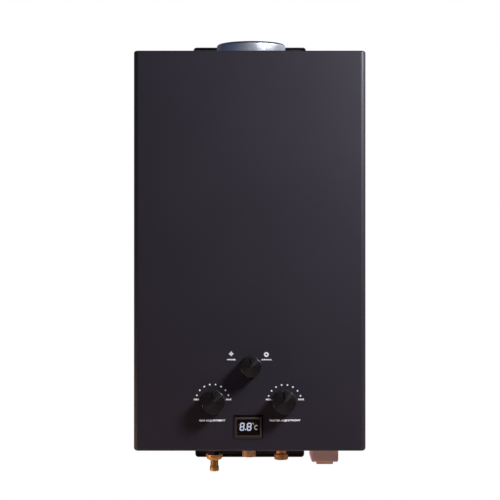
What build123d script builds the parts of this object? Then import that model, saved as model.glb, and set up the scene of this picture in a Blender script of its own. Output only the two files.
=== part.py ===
from build123d import *
from math import cos, radians, sin, tan
import os

# Wall-hung instantaneous gas water heater for propane, with battery ignition.
# +X is to the right as one faces the heater, +Y goes towards the wall, +Z is up.
# The origin is on the wall plane, midway between the two hanging holes of the top bracket.
# Every size is in millimetres.

# ---------------------------------------------------------------- driving dimensions
casing_width = 342.0
casing_height = 590.0
casing_depth = 160.0  # from the wall plane to the face of the cover
sheet = 1.0  # steel and copper sheet
bracket_sheet = 2.0  # hanging brackets, which keep the back panel off the wall
slip_gap = 0.3  # play between parts that slip over each other
shaft_gap = 0.05  # radial play of a shaft in its bore

hanging_hole_rise = 12.0  # hanging holes above the casing's top
flue_radius = 52.0  # outside of the flue collar
half_inch_thread = 20.955 / 2  # outside radius of a G 1/2 male thread
pipe_radius = 6.5  # outside of the water pipes
pipe_bore = 5.7
fittings_y = -75.0  # the three pipe fittings and the flue share the casing's middle depth
flue_x, flue_y = 2.0, -85.0  # the flue stands a little to the right of the middle

gas_x, hot_x, cold_x = -54.0, -1.0, 48.0
gas_knob_x, water_knob_x, selector_knob_x = -53.0, 51.0, 2.0
lower_knob_rise, upper_knob_rise = 73.2, 125.0  # knob axes above the casing's bottom
display_x, display_rise = -2.0, 35.4
battery_x = 112.25

# ---------------------------------------------------------------- derived places
casing_top = -hanging_hole_rise
casing_bottom = casing_top - casing_height
half_width = casing_width / 2
cover_face = -casing_depth
cover_inside = cover_face + sheet
wall_plane = 0.0
panel_back = wall_plane - bracket_sheet
panel_front = panel_back - sheet
through = 5.0  # how far a cutting tool runs past the face that it cuts
skim = 1.0  # the same where something else stands close behind

parts = {}


# ---------------------------------------------------------------- basic forms
def up(height):
    """A height above the casing's bottom, as a Z coordinate."""
    return casing_bottom + height


def block(x0, x1, y0, y1, z0, z1):
    """A box between two corners."""
    centre = Pos((x0 + x1) / 2, (y0 + y1) / 2, (z0 + z1) / 2)
    return centre * Box(x1 - x0, y1 - y0, z1 - z0)


def post(x, y, z0, z1, radius):
    """A cylinder that stands along Z."""
    return Pos(x, y, (z0 + z1) / 2) * Cylinder(radius, z1 - z0)


def shaft(x, z, y0, y1, radius):
    """A cylinder that lies along Y."""
    return Pos(x, (y0 + y1) / 2, z) * Rot(X=90) * Cylinder(radius, y1 - y0)


def bar(y, z, x0, x1, radius):
    """A cylinder that lies along X."""
    return Pos((x0 + x1) / 2, y, z) * Rot(Y=90) * Cylinder(radius, x1 - x0)


def hexagon(x, y, z0, z1, across_flats):
    """A hexagonal prism along Z."""
    outline = RegularPolygon(across_flats / 2, 6, major_radius=False)
    return Pos(x, y, z0) * extrude(outline, z1 - z0)


def turned(x, y, z, profile):
    """A turned piece: radius and height pairs, revolved about a vertical axis at x, y, from height z."""
    face = Plane.XZ * make_face(Polyline(*profile, close=True))
    return Pos(x, y, z) * revolve(face, Axis.Z)


def pipe(points, bend, outer, inner=0.0):
    """A round pipe along straight runs joined by bends. bend is one radius, or one for each corner."""
    path = FilletPolyline(*points, radius=bend)
    start = Plane(origin=path @ 0, z_dir=path % 0)
    section = start * Circle(outer)
    tube = sweep(section, path=path)
    if inner:
        tube -= sweep(start * Circle(inner), path=path)
    return tube


def lead(points, radius):
    """A flexible lead: each corner's arc is as large as its two runs allow."""
    corners = []
    nodes = [Vector(*point) for point in points]
    for before, corner, after in zip(nodes, nodes[1:], nodes[2:]):
        run_in, run_out = corner - before, after - corner
        half_turn = radians(run_in.get_angle(run_out)) / 2
        corners.append(0.45 * min(run_in.length, run_out.length) / tan(half_turn))
    return pipe(points, corners, radius)


def group(solids):
    """Identical or related solids that share one node."""
    return Compound(children=list(solids))


# ---------------------------------------------------------------- casing
fold_radius = 8.0  # the cover's two long folds
top_fold, bottom_fold = 3.5, 4.5
lip_width = 14.0  # the cover's return lip around its open bottom
collar_clearance = 4.0
stem_hole_radius = 5.5
sleeve_width, sleeve_height = 38.0, 29.0  # the display's opening
screw_radius = 1.9
screw_hole = 2.0
cover_screw_y = -13.0
cover_screw_rises = (30.0, 560.0)
vent_width, vent_height, vent_pitch, vent_count = 60.0, 4.0, 10.0, 6
vent_y = -85.0
vent_rises = (30.0, 505.0)  # lowest slot of each block of side vents

stems = (
    (gas_knob_x, lower_knob_rise),
    (water_knob_x, lower_knob_rise),
    (selector_knob_x, upper_knob_rise),
)


def cover_shell(inset):
    """The cover's outer form, or the form of its inside when inset by the sheet."""
    rear = panel_back + through if inset else panel_back
    form = block(
        inset - half_width, half_width - inset, cover_face + inset, rear,
        casing_bottom + inset, casing_top - inset,
    )
    long_folds = form.edges().filter_by(Axis.Z).group_by(Axis.Y)[0]
    form = fillet(long_folds, fold_radius - inset)
    form = fillet(open_chain(form.faces().sort_by(Axis.Z)[-1]), top_fold - inset)
    return fillet(open_chain(form.faces().sort_by(Axis.Z)[0]), bottom_fold - inset)


def open_chain(face):
    """A top or bottom face's edges without its rear edge, where the cover is open."""
    rear = face.edges().filter_by(Axis.X).sort_by(Axis.Y)[-1]
    return [edge for edge in face.edges() if edge != rear]


def make_front_cover():
    cover = cover_shell(0) - cover_shell(sheet)
    cover -= block(
        lip_width - half_width, half_width - lip_width, cover_face + lip_width, through,
        casing_bottom - through, casing_bottom + 2 * sheet,
    )
    slot = flue_radius + collar_clearance
    below, above = casing_top - through, casing_top + through
    cover -= post(flue_x, flue_y, below, above, slot)
    cover -= block(flue_x - slot, flue_x + slot, flue_y, through, below, above)
    for x, rise in stems:
        cover -= shaft(x, up(rise), cover_face - through, cover_face + through, stem_hole_radius)
    cover -= block(
        display_x - sleeve_width / 2, display_x + sleeve_width / 2,
        cover_face - through, cover_face + through,
        up(display_rise - sleeve_height / 2), up(display_rise + sleeve_height / 2),
    )
    for rise in cover_screw_rises:
        cover -= bar(cover_screw_y, up(rise), -half_width - through, half_width + through, screw_hole)
    slots = []
    for first in vent_rises:
        for index in range(vent_count):
            level = up(first + index * vent_pitch)
            slots.append(block(
                -half_width - through, half_width + through,
                vent_y - vent_width / 2, vent_y + vent_width / 2,
                level, level + vent_height,
            ))
    return cover - slots


panel_half = half_width - sheet - slip_gap
panel_low = casing_bottom + sheet + slip_gap
panel_high = casing_top - sheet - slip_gap
panel_corner = 3.0
flange_depth = 20.0
tongue_half, tongue_depth = 64.0, 7.0  # closes the cover's slot behind the collar
rib_x, rib_width, rib_rise, rib_margin = 120.0, 14.0, 1.2, 75.0  # pressed stiffening ribs
rivet_radius, rivet_head, rivet_head_height = 1.6, 3.0, 1.2
rivet_xs = (-72.0, -26.0, 26.0, 72.0)
rivet_inset = 18.0  # rivet rows inside the casing's top and bottom


def make_back_panel():
    panel = block(-panel_half, panel_half, panel_front - flange_depth, panel_back, panel_low, panel_high)
    panel = fillet(panel.edges().filter_by(Axis.Y), panel_corner)
    inside = block(
        sheet - panel_half, panel_half - sheet, panel_front - flange_depth - through, panel_front,
        panel_low + sheet, panel_high - sheet,
    )
    panel -= fillet(inside.edges().filter_by(Axis.Y), panel_corner - sheet)
    tongue_back = panel_front - flange_depth + sheet
    panel += block(
        -tongue_half, tongue_half, tongue_back - tongue_depth - sheet, tongue_back,
        panel_high - sheet, panel_high,
    )
    for x in (-rib_x, rib_x):
        panel += pressed_rib(x, 0, panel_back - sheet / 2, panel_back + rib_rise)
        panel -= pressed_rib(x, sheet, panel_front - sheet, panel_front + rib_rise)
    for z in (casing_top - rivet_inset, casing_bottom + rivet_inset):
        for x in rivet_xs:
            panel -= shaft(x, z, panel_front - sheet, through, rivet_radius)
    for rise in cover_screw_rises:
        panel -= bar(cover_screw_y, up(rise), -half_width, half_width, screw_hole)
    return panel


def pressed_rib(x, inset, y0, y1):
    """A long rib that stands on the sheet towards the wall, or its hollow side when inset."""
    half, margin = rib_width / 2 - inset, rib_margin + inset
    rib = block(x - half, x + half, y0, y1, casing_bottom + margin, casing_top - margin)
    return fillet(rib.edges().filter_by(Axis.Y), half - sheet)


top_bracket_width, bottom_bracket_width = 176.5, 171.0
bracket_lap = 35.0  # overlap of a bracket and the back panel
top_tab, bottom_tab = 24.0, 29.0  # how far the tabs stand past the casing
tab_corner = 5.0
tab_rim, tab_rim_depth = 1.5, 4.0  # folded rim of the tab's free edges
hanging_hole_spacing = 130.0
hanging_hole_radius = 3.25
bottom_hole_drop = 15.0


def make_bracket(width, edge, tab, hole_z):
    """A hanging bracket riveted behind the panel. Its tab stands past the casing edge at z = edge."""
    outward = 1 if tab > 0 else -1
    free_edge = edge + tab
    inner_edge = edge - outward * bracket_lap
    middle = (free_edge + inner_edge) / 2
    height = abs(free_edge - inner_edge)
    at_wall = Pos(0, wall_plane, middle) * Rot(X=90)
    plate = at_wall * extrude(RectangleRounded(width, height, tab_corner), bracket_sheet)
    rim = extrude(RectangleRounded(width, height, tab_corner), bracket_sheet + tab_rim_depth)
    hollow = RectangleRounded(width - 2 * tab_rim, height - 2 * tab_rim, tab_corner - tab_rim)
    rim = at_wall * (rim - extrude(hollow, bracket_sheet + tab_rim_depth))
    clear_edge = edge + outward * slip_gap
    low, high = sorted((clear_edge, free_edge))
    rim &= block(-width, width, -casing_depth, through, low, high)
    plate += rim
    for x in (-hanging_hole_spacing / 2, hanging_hole_spacing / 2):
        plate -= shaft(x, hole_z, -through, through, hanging_hole_radius)
    for x in rivet_xs:
        plate -= shaft(x, edge - outward * rivet_inset, -through, through, rivet_radius)
    return plate


def make_bracket_rivets():
    rivets = []
    for z in (casing_top - rivet_inset, casing_bottom + rivet_inset):
        for x in rivet_xs:
            shank = shaft(x, z, panel_front, wall_plane, rivet_radius)
            head = shaft(x, z, panel_front - rivet_head_height, panel_front, rivet_head)
            rivets.append(shank + head)
    return group(rivets)


plate_low = casing_bottom + 2 * sheet + slip_gap
plate_high = plate_low + sheet
plate_margin = 2.0  # between the plate's ends and the back panel's flanges
plate_gap = 1.0  # between the plate's front edge and the cover
fitting_hole = 10.8
battery_width, battery_depth, battery_y = 40.5, 80.0, -85.0
air_slot_width, air_slot_length, air_slot_pitch, air_slot_count = 5.0, 70.0, 12.0, 6
air_slot_left = -152.0


def make_bottom_plate():
    edge = panel_half - sheet - plate_margin
    plate = block(-edge, edge, cover_inside + plate_gap, panel_front - sheet, plate_low, plate_high)
    plate = fillet(plate.edges().filter_by(Axis.Z).group_by(Axis.Y)[0], fold_radius - sheet)
    for x in (gas_x, hot_x, cold_x):
        plate -= post(x, fittings_y, plate_low - through, plate_high + through, fitting_hole)
    plate -= block(
        battery_x - battery_width / 2 - slip_gap, battery_x + battery_width / 2 + slip_gap,
        battery_y - battery_depth / 2 - slip_gap, battery_y + battery_depth / 2 + slip_gap,
        plate_low - through, plate_high + through,
    )
    slots = []
    for index in range(air_slot_count):
        x = air_slot_left + index * air_slot_pitch
        slots.append(block(
            x, x + air_slot_width, battery_y - air_slot_length / 2, battery_y + air_slot_length / 2,
            plate_low - through, plate_high + through,
        ))
    return plate - slots


cover_screw_length = 8.0
pan_head_radius, pan_head_height, pan_head_round = 4.0, 2.2, 1.2
cross_arm, cross_depth = (2.4, 0.45), 1.0  # half sizes of one arm of the screwdriver recess


def make_cover_screws():
    """Pan-head screws through the cover's sides into the back panel's flanges."""
    screws = []
    for rise in cover_screw_rises:
        z = up(rise)
        screw = bar(cover_screw_y, z, half_width - cover_screw_length, half_width, screw_radius)
        head = bar(cover_screw_y, z, half_width, half_width + pan_head_height, pan_head_radius)
        screw += fillet(head.edges().group_by(Axis.X)[-1], pan_head_round)
        floor = half_width + pan_head_height - cross_depth
        for along_y, along_z in (cross_arm, cross_arm[::-1]):
            screw -= block(
                floor, floor + through,
                cover_screw_y - along_y, cover_screw_y + along_y, z - along_z, z + along_z,
            )
        screws += [screw, mirror(screw, Plane.YZ)]
    return group(screws)


def make_casing():
    parts["front_cover"] = make_front_cover()
    parts["back_panel"] = make_back_panel()
    parts["bottom_plate"] = make_bottom_plate()
    parts["top_bracket"] = make_bracket(top_bracket_width, casing_top, top_tab, wall_plane)
    parts["bottom_bracket"] = make_bracket(
        bottom_bracket_width, casing_bottom, -bottom_tab, casing_bottom - bottom_hole_drop
    )
    parts["bracket_rivets"] = make_bracket_rivets()
    parts["cover_screws"] = make_cover_screws()


# ---------------------------------------------------------------- flue and draught hood
collar_rise = 17.4
collar_shoulder = 3.8
collar_lip = 8.0  # the rim is rolled inwards by this much
collar_lip_drop = 7.0
collar_flange = 62.0
collar_bead = 0.6  # the flue pipe pushes on down to this bead, level with the casing's top
collar_foot = casing_top - 4.5
exchanger_width, exchanger_depth = 268.0, 112.0
exchanger_low, exchanger_high = 245.0, 395.0
hood_skirt, hood_shoulder = 405.0, 500.0
hood_top_size = 128.0
joint_flange = 8.0
joint_screw_xs = (-110.0, 0.0, 110.0)
relief_width, relief_low, relief_high = 90.0, 515.0, 560.0
screw_head, screw_head_height, screw_slot_half, screw_slot_depth = 3.2, 2.0, 0.4, 1.0
joint_screw_length = 6.0


def make_flue_collar():
    """A pressed aluminium ring: a foot flange, a straight wall and a rim rolled inwards."""
    top = casing_top + collar_rise
    wall_height = top - collar_foot

    def rim_section(radius_in, radius_out, height, shoulder):
        middle = (radius_in + radius_out) / 2
        section = Pos(middle, collar_foot + height / 2) * Rectangle(radius_out - radius_in, height)
        return fillet(section.vertices().group_by(Axis.Y)[-1], shoulder)

    outside = rim_section(flue_radius - collar_lip, flue_radius, wall_height, collar_shoulder)
    inside = rim_section(
        flue_radius - collar_lip + sheet, flue_radius - sheet, wall_height - sheet, collar_shoulder - sheet
    )
    below_lip = Pos(flue_radius - collar_lip, collar_foot) * Rectangle(
        4 * sheet, 2 * (wall_height - collar_lip_drop)
    )
    foot = Pos((flue_radius - sheet + collar_flange) / 2, collar_foot + sheet / 2) * Rectangle(
        collar_flange - flue_radius + sheet, sheet
    )
    bead_height = casing_top - collar_foot
    bead = Pos(flue_radius, collar_foot + bead_height / 2) * Rectangle(2 * collar_bead, bead_height)
    section = outside + bead - inside - below_lip + foot
    collar = Pos(flue_x, flue_y, 0) * revolve(Plane.XZ * section, Axis.Z)
    for x, y in collar_screw_places():
        collar -= post(x, y, collar_foot - through, collar_foot + through, screw_radius)
    return collar


def collar_screw_places():
    reach = (collar_flange + flue_radius) / 2
    return [
        (flue_x + reach * cos(radians(angle)), flue_y + reach * sin(radians(angle)))
        for angle in (45, 135, 225, 315)
    ]


def hood_form(inset, low, high):
    """The draught hood's form: a skirt, a slope and a square head, inset by a wall."""
    width, depth = exchanger_width - 2 * inset, exchanger_depth - 2 * inset
    head = hood_top_size - 2 * inset
    skirt = block(-width / 2, width / 2, flue_y - depth / 2, flue_y + depth / 2, low, up(hood_skirt))
    slope = loft([
        Pos(0, flue_y, up(hood_skirt)) * Rectangle(width, depth),
        Pos(flue_x, flue_y, up(hood_shoulder)) * Rectangle(head, head),
    ])
    box = block(
        flue_x - head / 2, flue_x + head / 2, flue_y - head / 2, flue_y + head / 2, up(hood_shoulder), high
    )
    return skirt + slope + box


def flange_plate(z0, z1):
    """The outward flange where the hood meets the heat exchanger."""
    plate = block(
        -exchanger_width / 2 - joint_flange, exchanger_width / 2 + joint_flange,
        flue_y - exchanger_depth / 2 - joint_flange, flue_y + exchanger_depth / 2 + joint_flange, z0, z1,
    )
    for x, y in joint_screw_places():
        plate -= post(x, y, z0 - through, z1 + through, screw_radius)
    return plate


def joint_screw_places():
    reach = exchanger_depth / 2 + joint_flange / 2
    return [(x, flue_y + side * reach) for x in joint_screw_xs for side in (-1, 1)]


def make_draught_hood():
    """A sheet hood that gathers the burnt gas; its rear window lets a back draught escape."""
    low = up(exchanger_high)
    hood = hood_form(0, low, collar_foot) + flange_plate(low, low + sheet)
    hood -= hood_form(sheet, low - through, collar_foot - sheet)
    hood -= post(flue_x, flue_y, collar_foot - through, collar_foot + through, flue_radius - 2 * sheet)
    rear = flue_y + hood_top_size / 2
    hood -= block(
        flue_x - relief_width / 2, flue_x + relief_width / 2, rear - through, rear + through,
        up(relief_low), up(relief_high),
    )
    for x, y in collar_screw_places():
        hood -= post(x, y, collar_foot - through, collar_foot + through, screw_radius)
    return hood


def small_screw(x, y, z):
    """A small screw whose head rests on z and whose shank points down."""
    shank = post(x, y, z - joint_screw_length, z, screw_radius)
    head = post(x, y, z, z + screw_head_height, screw_head)
    return shank + head - block(
        x - screw_head, x + screw_head,
        y - screw_slot_half, y + screw_slot_half, z + screw_slot_depth, z + through,
    )


def make_hood_screws():
    joint = [small_screw(x, y, up(exchanger_high) + sheet) for x, y in joint_screw_places()]
    collar = [small_screw(x, y, collar_foot + sheet) for x, y in collar_screw_places()]
    return group(joint + collar)


def make_flue():
    parts["flue_collar"] = make_flue_collar()
    parts["draught_hood"] = make_draught_hood()
    parts["hood_screws"] = make_hood_screws()


# ---------------------------------------------------------------- heat exchanger
tube_rise = 362.0
tube_pitch = 20.0
tube_ys = [flue_y + tube_pitch * index for index in (-2, -1, 0, 1, 2)]
fin_count, fin_pitch, fin_thickness = 40, 6.5, 0.8
fin_low, fin_high = 335.0, 390.0
bend_start = exchanger_width / 2 + 3.0
electrode_rise = 258.0
electrode_xs = (-30.0, 30.0)
insulator_radius = 3.5


def make_exchanger_shell():
    """The copper combustion chamber: four walls, open above the burner and below the hood."""
    half, deep = exchanger_width / 2, exchanger_depth / 2
    shell = block(-half, half, flue_y - deep, flue_y + deep, up(exchanger_low), up(exchanger_high))
    shell += flange_plate(up(exchanger_high) - sheet, up(exchanger_high))
    shell -= block(
        sheet - half, half - sheet, flue_y - deep + sheet, flue_y + deep - sheet,
        up(exchanger_low) - through, up(exchanger_high) + through,
    )
    for y in tube_ys:
        shell -= bar(y, up(tube_rise), -half - through, half + through, pipe_radius)
    for x in electrode_xs:
        shell -= shaft(x, up(electrode_rise), cover_face, flue_y, insulator_radius)
    return shell


def make_exchanger_fins():
    """Thin copper plates threaded on the tube."""
    deep = exchanger_depth / 2 - 2 * sheet
    fins = []
    for index in range(fin_count):
        x = (index - (fin_count - 1) / 2) * fin_pitch
        fin = block(
            x - fin_thickness / 2, x + fin_thickness / 2, flue_y - deep, flue_y + deep,
            up(fin_low), up(fin_high),
        )
        for y in tube_ys:
            fin -= bar(y, up(tube_rise), x - through, x + through, pipe_radius)
        fins.append(fin)
    return group(fins)


def make_fin_tube():
    """One copper tube that passes the fins five times, with four return bends."""
    z = up(tube_rise)
    side = 1
    edges = []
    for index, y in enumerate(tube_ys):
        edges.append(Line((side * bend_start, y, z), (-side * bend_start, y, z)))
        side = -side
        if index < len(tube_ys) - 1:
            x = side * bend_start
            tip = (side * (bend_start + tube_pitch / 2), y + tube_pitch / 2, z)
            edges.append(ThreePointArc((x, y, z), tip, (x, y + tube_pitch, z)))
    path = Wire(edges)
    start = Plane(origin=(bend_start, tube_ys[0], z), z_dir=(-1, 0, 0))
    return sweep(start * Circle(pipe_radius), path=path) - sweep(start * Circle(pipe_bore), path=path)


coil_rise, coil_climb_side, coil_climb_end = 275.0, 12.0, 33.0  # the coil climbs as it goes round
coil_x = exchanger_width / 2 + pipe_radius + 2.0
coil_front = flue_y - exchanger_depth / 2 - pipe_radius - 1.0
coil_rear = flue_y + exchanger_depth / 2 + pipe_radius + 1.0
riser_x = 157.5  # pipes that pass outside the coil
cold_riser_y = -60.0
hot_riser_y = tube_ys[-1]
cold_run_rise, hot_run_rise = 135.0, 160.0  # where the pipes cross the casing
cold_joint, hot_joint = 245.0, 18.0
pipe_bend, coil_bend = 15.0, 10.0
valve_top = 112.0


def make_coil_pipe():
    """Wraps the combustion chamber once and climbs to the fin tube's front end."""
    return pipe(
        [
            (coil_x, cold_riser_y, up(cold_joint)),
            (coil_x, cold_riser_y, up(coil_rise)),
            (coil_x, coil_front, up(coil_rise)),
            (-coil_x, coil_front, up(coil_rise)),
            (-coil_x, coil_rear, up(coil_rise + coil_climb_side)),
            (riser_x, coil_rear, up(coil_rise + coil_climb_end)),
            (riser_x, tube_ys[0], up(coil_rise + coil_climb_end)),
            (riser_x, tube_ys[0], up(tube_rise)),
            (bend_start, tube_ys[0], up(tube_rise)),
        ],
        coil_bend, pipe_radius, pipe_bore,
    )


def make_water_pipes():
    """From the water valve to the coil, and from the fin tube's rear end down to the hot outlet."""
    cold = pipe(
        [
            (cold_x, fittings_y, up(valve_top)),
            (cold_x, fittings_y, up(cold_run_rise)),
            (coil_x, cold_riser_y, up(cold_run_rise)),
            (coil_x, cold_riser_y, up(cold_joint)),
        ],
        pipe_bend, pipe_radius, pipe_bore,
    )
    hot = pipe(
        [
            (-bend_start, hot_riser_y, up(tube_rise)),
            (-riser_x, hot_riser_y, up(tube_rise)),
            (-riser_x, hot_riser_y, up(hot_run_rise)),
            (hot_x, fittings_y, up(hot_run_rise)),
            (hot_x, fittings_y, up(hot_joint)),
        ],
        pipe_bend, pipe_radius, pipe_bore,
    )
    return group([cold, hot])


channel_sheet, channel_height = 1.5, 14.0
upper_channel_half, upper_channel_rise = 100.0, 335.0
lower_channel_half, lower_channel_rise = 60.0, 214.0


def channel(half_length, y_front, rise):
    """A support channel: a web with a flange at the front and another on the back panel."""
    z, half_height, half_sheet = up(rise), channel_height / 2, channel_sheet / 2
    web = block(-half_length, half_length, y_front, panel_front, z - half_sheet, z + half_sheet)
    for y in (y_front, panel_front - channel_sheet):
        web += block(-half_length, half_length, y, y + channel_sheet, z - half_height, z + half_height)
    return web


def make_support_channels():
    """Two channels that carry the heat exchanger and the burner tray on the back panel."""
    shell_rear = flue_y + exchanger_depth / 2
    return group([
        channel(upper_channel_half, shell_rear, upper_channel_rise),
        channel(lower_channel_half, tray_rear, lower_channel_rise),
    ])


def make_heat_exchanger():
    parts["exchanger_shell"] = make_exchanger_shell()
    parts["exchanger_fins"] = make_exchanger_fins()
    parts["fin_tube"] = make_fin_tube()
    parts["coil_pipe"] = make_coil_pipe()
    parts["water_pipes"] = make_water_pipes()
    parts["support_channels"] = make_support_channels()


# ---------------------------------------------------------------- burner
burner_count, burner_pitch = 12, 21.0
burner_xs = [(index - (burner_count - 1) / 2) * burner_pitch for index in range(burner_count)]
tray_low, tray_high = 203.0, 252.0
tray_wall, tray_ledge = 1.2, 7.0
venturi_rise, venturi_radius, venturi_length = 214.0, 5.5, 62.0
bar_gap, bar_sheet = 0.2, 1.0
bar_half = 2.5  # the thin body of a burner bar
head_half, head_low, head_top, head_inset = 5.0, 231.0, 241.0, 3.0  # its wider, slotted head
port_count, port_pitch, port_length, port_half_width, port_first = 16, 6.0, 1.5, 3.6, 8.0
manifold_front = cover_inside + 1.5
manifold_back = manifold_front + 10.0
manifold_y = (manifold_front + manifold_back) / 2
manifold_half, manifold_low, manifold_high = 128.0, 208.0, 220.0
manifold_wall, manifold_lug = 1.5, 6.0
jet_across_flats, jet_hex_length, jet_radius, jet_tip_length, jet_hole = 6.4, 3.0, 1.5, 2.0, 0.5
gas_pipe_radius, gas_pipe_bore = 5.0, 4.2
tray_half = exchanger_width / 2 + 0.1 + tray_wall
tray_deep = exchanger_depth / 2 + 0.1 + tray_wall
tray_front, tray_rear = flue_y - tray_deep, flue_y + tray_deep


def make_burner_tray():
    """An open frame that holds the burner bars and locates the chamber's lower edge."""
    tray = block(-tray_half, tray_half, tray_front, tray_rear, up(tray_low), up(tray_high))
    inner_half, floor = tray_half - tray_wall, up(tray_low)
    tray -= block(
        -inner_half, inner_half, tray_front + tray_wall, tray_rear - tray_wall,
        floor - through, up(tray_high) + through,
    )
    tray += block(
        -inner_half, inner_half, tray_front + tray_wall, tray_front + tray_ledge, floor, floor + tray_wall
    )
    tray += block(
        -inner_half, inner_half, tray_rear - tray_ledge, tray_rear - tray_wall, floor, floor + tray_wall
    )
    for x in burner_xs:
        tray -= shaft(x, up(venturi_rise), tray_front - through, tray_front + through, venturi_radius)
    return tray


def make_burner_bars():
    """Pressed steel burner bars: a venturi tube, a thin body and a slotted head."""
    y0, y1 = tray_front + tray_wall + bar_gap, tray_rear - tray_wall - bar_gap
    foot, z = up(tray_low + tray_wall), up(venturi_rise)
    bars = []
    for x in burner_xs:
        burner = shaft(x, z, y0, y0 + venturi_length, venturi_radius)
        burner += bar_form(x, y0, y1, bar_half, head_half, foot, 0)
        burner -= shaft(x, z, y0 - through, y0 + venturi_length - bar_sheet, venturi_radius - bar_sheet)
        burner -= bar_form(x, y0, y1, bar_half, head_half, foot + bar_sheet, bar_sheet)
        starts = [y0 + port_first + port_pitch * index for index in range(port_count)]
        burner -= [
            block(
                x - port_half_width, x + port_half_width, start, start + port_length,
                up(head_top - 3 * bar_sheet), up(head_top) + through,
            )
            for start in starts
        ]
        bars.append(burner)
    return group(bars)


def bar_form(x, y0, y1, half, wide_half, low, inset):
    """A burner bar's thin body and wider head, or the form of its inside when inset by the sheet."""
    top = up(head_top) - inset
    body = block(x - half + inset, x + half - inset, y0 + inset, y1 - inset, low, top)
    return body + block(
        x - wide_half + inset, x + wide_half - inset, y0 + head_inset + inset, y1 - head_inset - inset,
        up(head_low) + inset, top,
    )


def make_gas_manifold():
    """A square tube across the front of the burner, with a lug at each end."""
    low, high = up(manifold_low), up(manifold_high)
    manifold = block(-manifold_half, manifold_half, manifold_front, manifold_back, low, high)
    manifold -= block(
        manifold_wall - manifold_half, manifold_half - manifold_wall, manifold_front + manifold_wall,
        manifold_back - manifold_wall, low + manifold_wall, high - manifold_wall,
    )
    for x in (-manifold_half, manifold_half - manifold_lug):
        manifold += block(x, x + manifold_lug, manifold_back, tray_front, low, high)
    for x in burner_xs:
        manifold -= shaft(x, up(venturi_rise), manifold_y, manifold_back + skim, jet_radius)
    return manifold - post(selector_knob_x, manifold_y, low - skim, up(venturi_rise), gas_pipe_bore - sheet)


def make_gas_nozzles():
    """Brass jets that blow gas into the venturis."""
    nozzles = []
    for x in burner_xs:
        jet = hexagon(0, 0, 0, jet_hex_length, jet_across_flats)
        jet += Pos(0, 0, jet_hex_length + jet_tip_length / 2) * Cone(
            jet_across_flats / 2 - jet_hole, 2 * jet_hole, jet_tip_length
        )
        jet -= post(0, 0, -skim, jet_hex_length + jet_tip_length + skim, jet_hole)
        nozzles.append(Pos(x, manifold_back, up(venturi_rise)) * Rot(X=-90) * jet)
    return group(nozzles)


selector_half, selector_front, selector_back = 15.0, -150.0, -120.0
selector_low, selector_high = 111.0, 139.0
selector_y = (selector_front + selector_back) / 2
gas_body_left, gas_body_right = -80.0, -28.0
valve_front, valve_back = -118.0, -62.0
gas_body_low, gas_body_high = 50.0, 110.0
rod_y, rod_rise = -98.0, 90.0  # axis of the push rod that joins the two valves
transfer_rise, transfer_bend = 128.0, 11.0
riser_low, riser_high, riser_bend = 170.0, 188.0, 12.0


def make_gas_pipes():
    """From the gas valve to the selector, and from the selector up to the manifold."""
    transfer = pipe(
        [
            (gas_knob_x, rod_y, up(gas_body_high)),
            (gas_knob_x, rod_y, up(transfer_rise)),
            (gas_knob_x, selector_y, up(transfer_rise)),
            (selector_knob_x - selector_half, selector_y, up(transfer_rise)),
        ],
        transfer_bend, gas_pipe_radius, gas_pipe_bore,
    )
    riser = pipe(
        [
            (selector_knob_x, selector_y, up(selector_high)),
            (selector_knob_x, selector_y, up(riser_low)),
            (selector_knob_x, manifold_y, up(riser_high)),
            (selector_knob_x, manifold_y, up(manifold_low)),
        ],
        riser_bend, gas_pipe_radius, gas_pipe_bore,
    )
    return group([transfer, riser])


def make_burner():
    parts["burner_tray"] = make_burner_tray()
    parts["burner_bars"] = make_burner_bars()
    parts["gas_manifold"] = make_gas_manifold()
    parts["gas_nozzles"] = make_gas_nozzles()
    parts["gas_pipes"] = make_gas_pipes()


# ---------------------------------------------------------------- gas valve
plug_radius, plug_front, plug_back = 7.0, -112.0, -76.0
plug_play = 0.1  # between the end of a plug and its bore
gas_plug_port, water_plug_port, selector_plug_port = 3.0, 2.0, 2.5
stem_radius = 3.0
disc_radius, disc_thickness = 8.5, 4.0
seat_x, seat_hole = -40.0, 6.0
rod_radius = 2.0
solenoid_x, solenoid_rise, solenoid_radius, solenoid_length = -62.0, 80.0, 12.0, 32.0
solenoid_boss_radius, solenoid_boss_length = 4.0, 4.0
solenoid_tip = valve_back + solenoid_length + solenoid_boss_length
gas_inlet_top = 50.0
casting_round = 4.0
chamber_play = 2.5  # the gas disc's chamber is wider than the disc by this
port_radius, port_top = 5.0, 60.0  # the inlet ports in the foot of both valves
cap_plug_length, cap_head_length, cap_across_flats, cap_bore = 10.0, 6.0, 27.0, 6.5
disc_hub_radius, disc_hub_length = 3.0, 4.0
spring_wire, spring_radius, spring_turns = 0.6, 5.0, 7
stem_flat = 1.0  # depth of the flat that the knob grips


def make_gas_valve_body():
    """A die-cast block with the plug cock in front and the disc chamber across."""
    z = up(rod_rise)
    body = block(gas_body_left, gas_body_right, valve_front, valve_back, up(gas_body_low), up(gas_body_high))
    body = fillet(body.edges(), casting_round)
    body -= shaft(gas_knob_x, up(lower_knob_rise), plug_front, plug_back, plug_radius + shaft_gap)
    body -= shaft(gas_knob_x, up(lower_knob_rise), valve_front - through, plug_front, stem_radius + shaft_gap)
    body -= bar(rod_y, z, gas_body_left - through, seat_x, disc_radius + chamber_play)
    body -= bar(rod_y, z, seat_x, seat_x + disc_thickness, seat_hole)
    body -= bar(rod_y, z, seat_x, gas_body_right + through, rod_radius + shaft_gap)
    body -= post(gas_x, fittings_y, up(gas_body_low) - through, up(port_top), port_radius)
    body -= post(gas_knob_x, rod_y, up(rod_rise), up(gas_body_high) + through, gas_pipe_bore)
    return body


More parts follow.
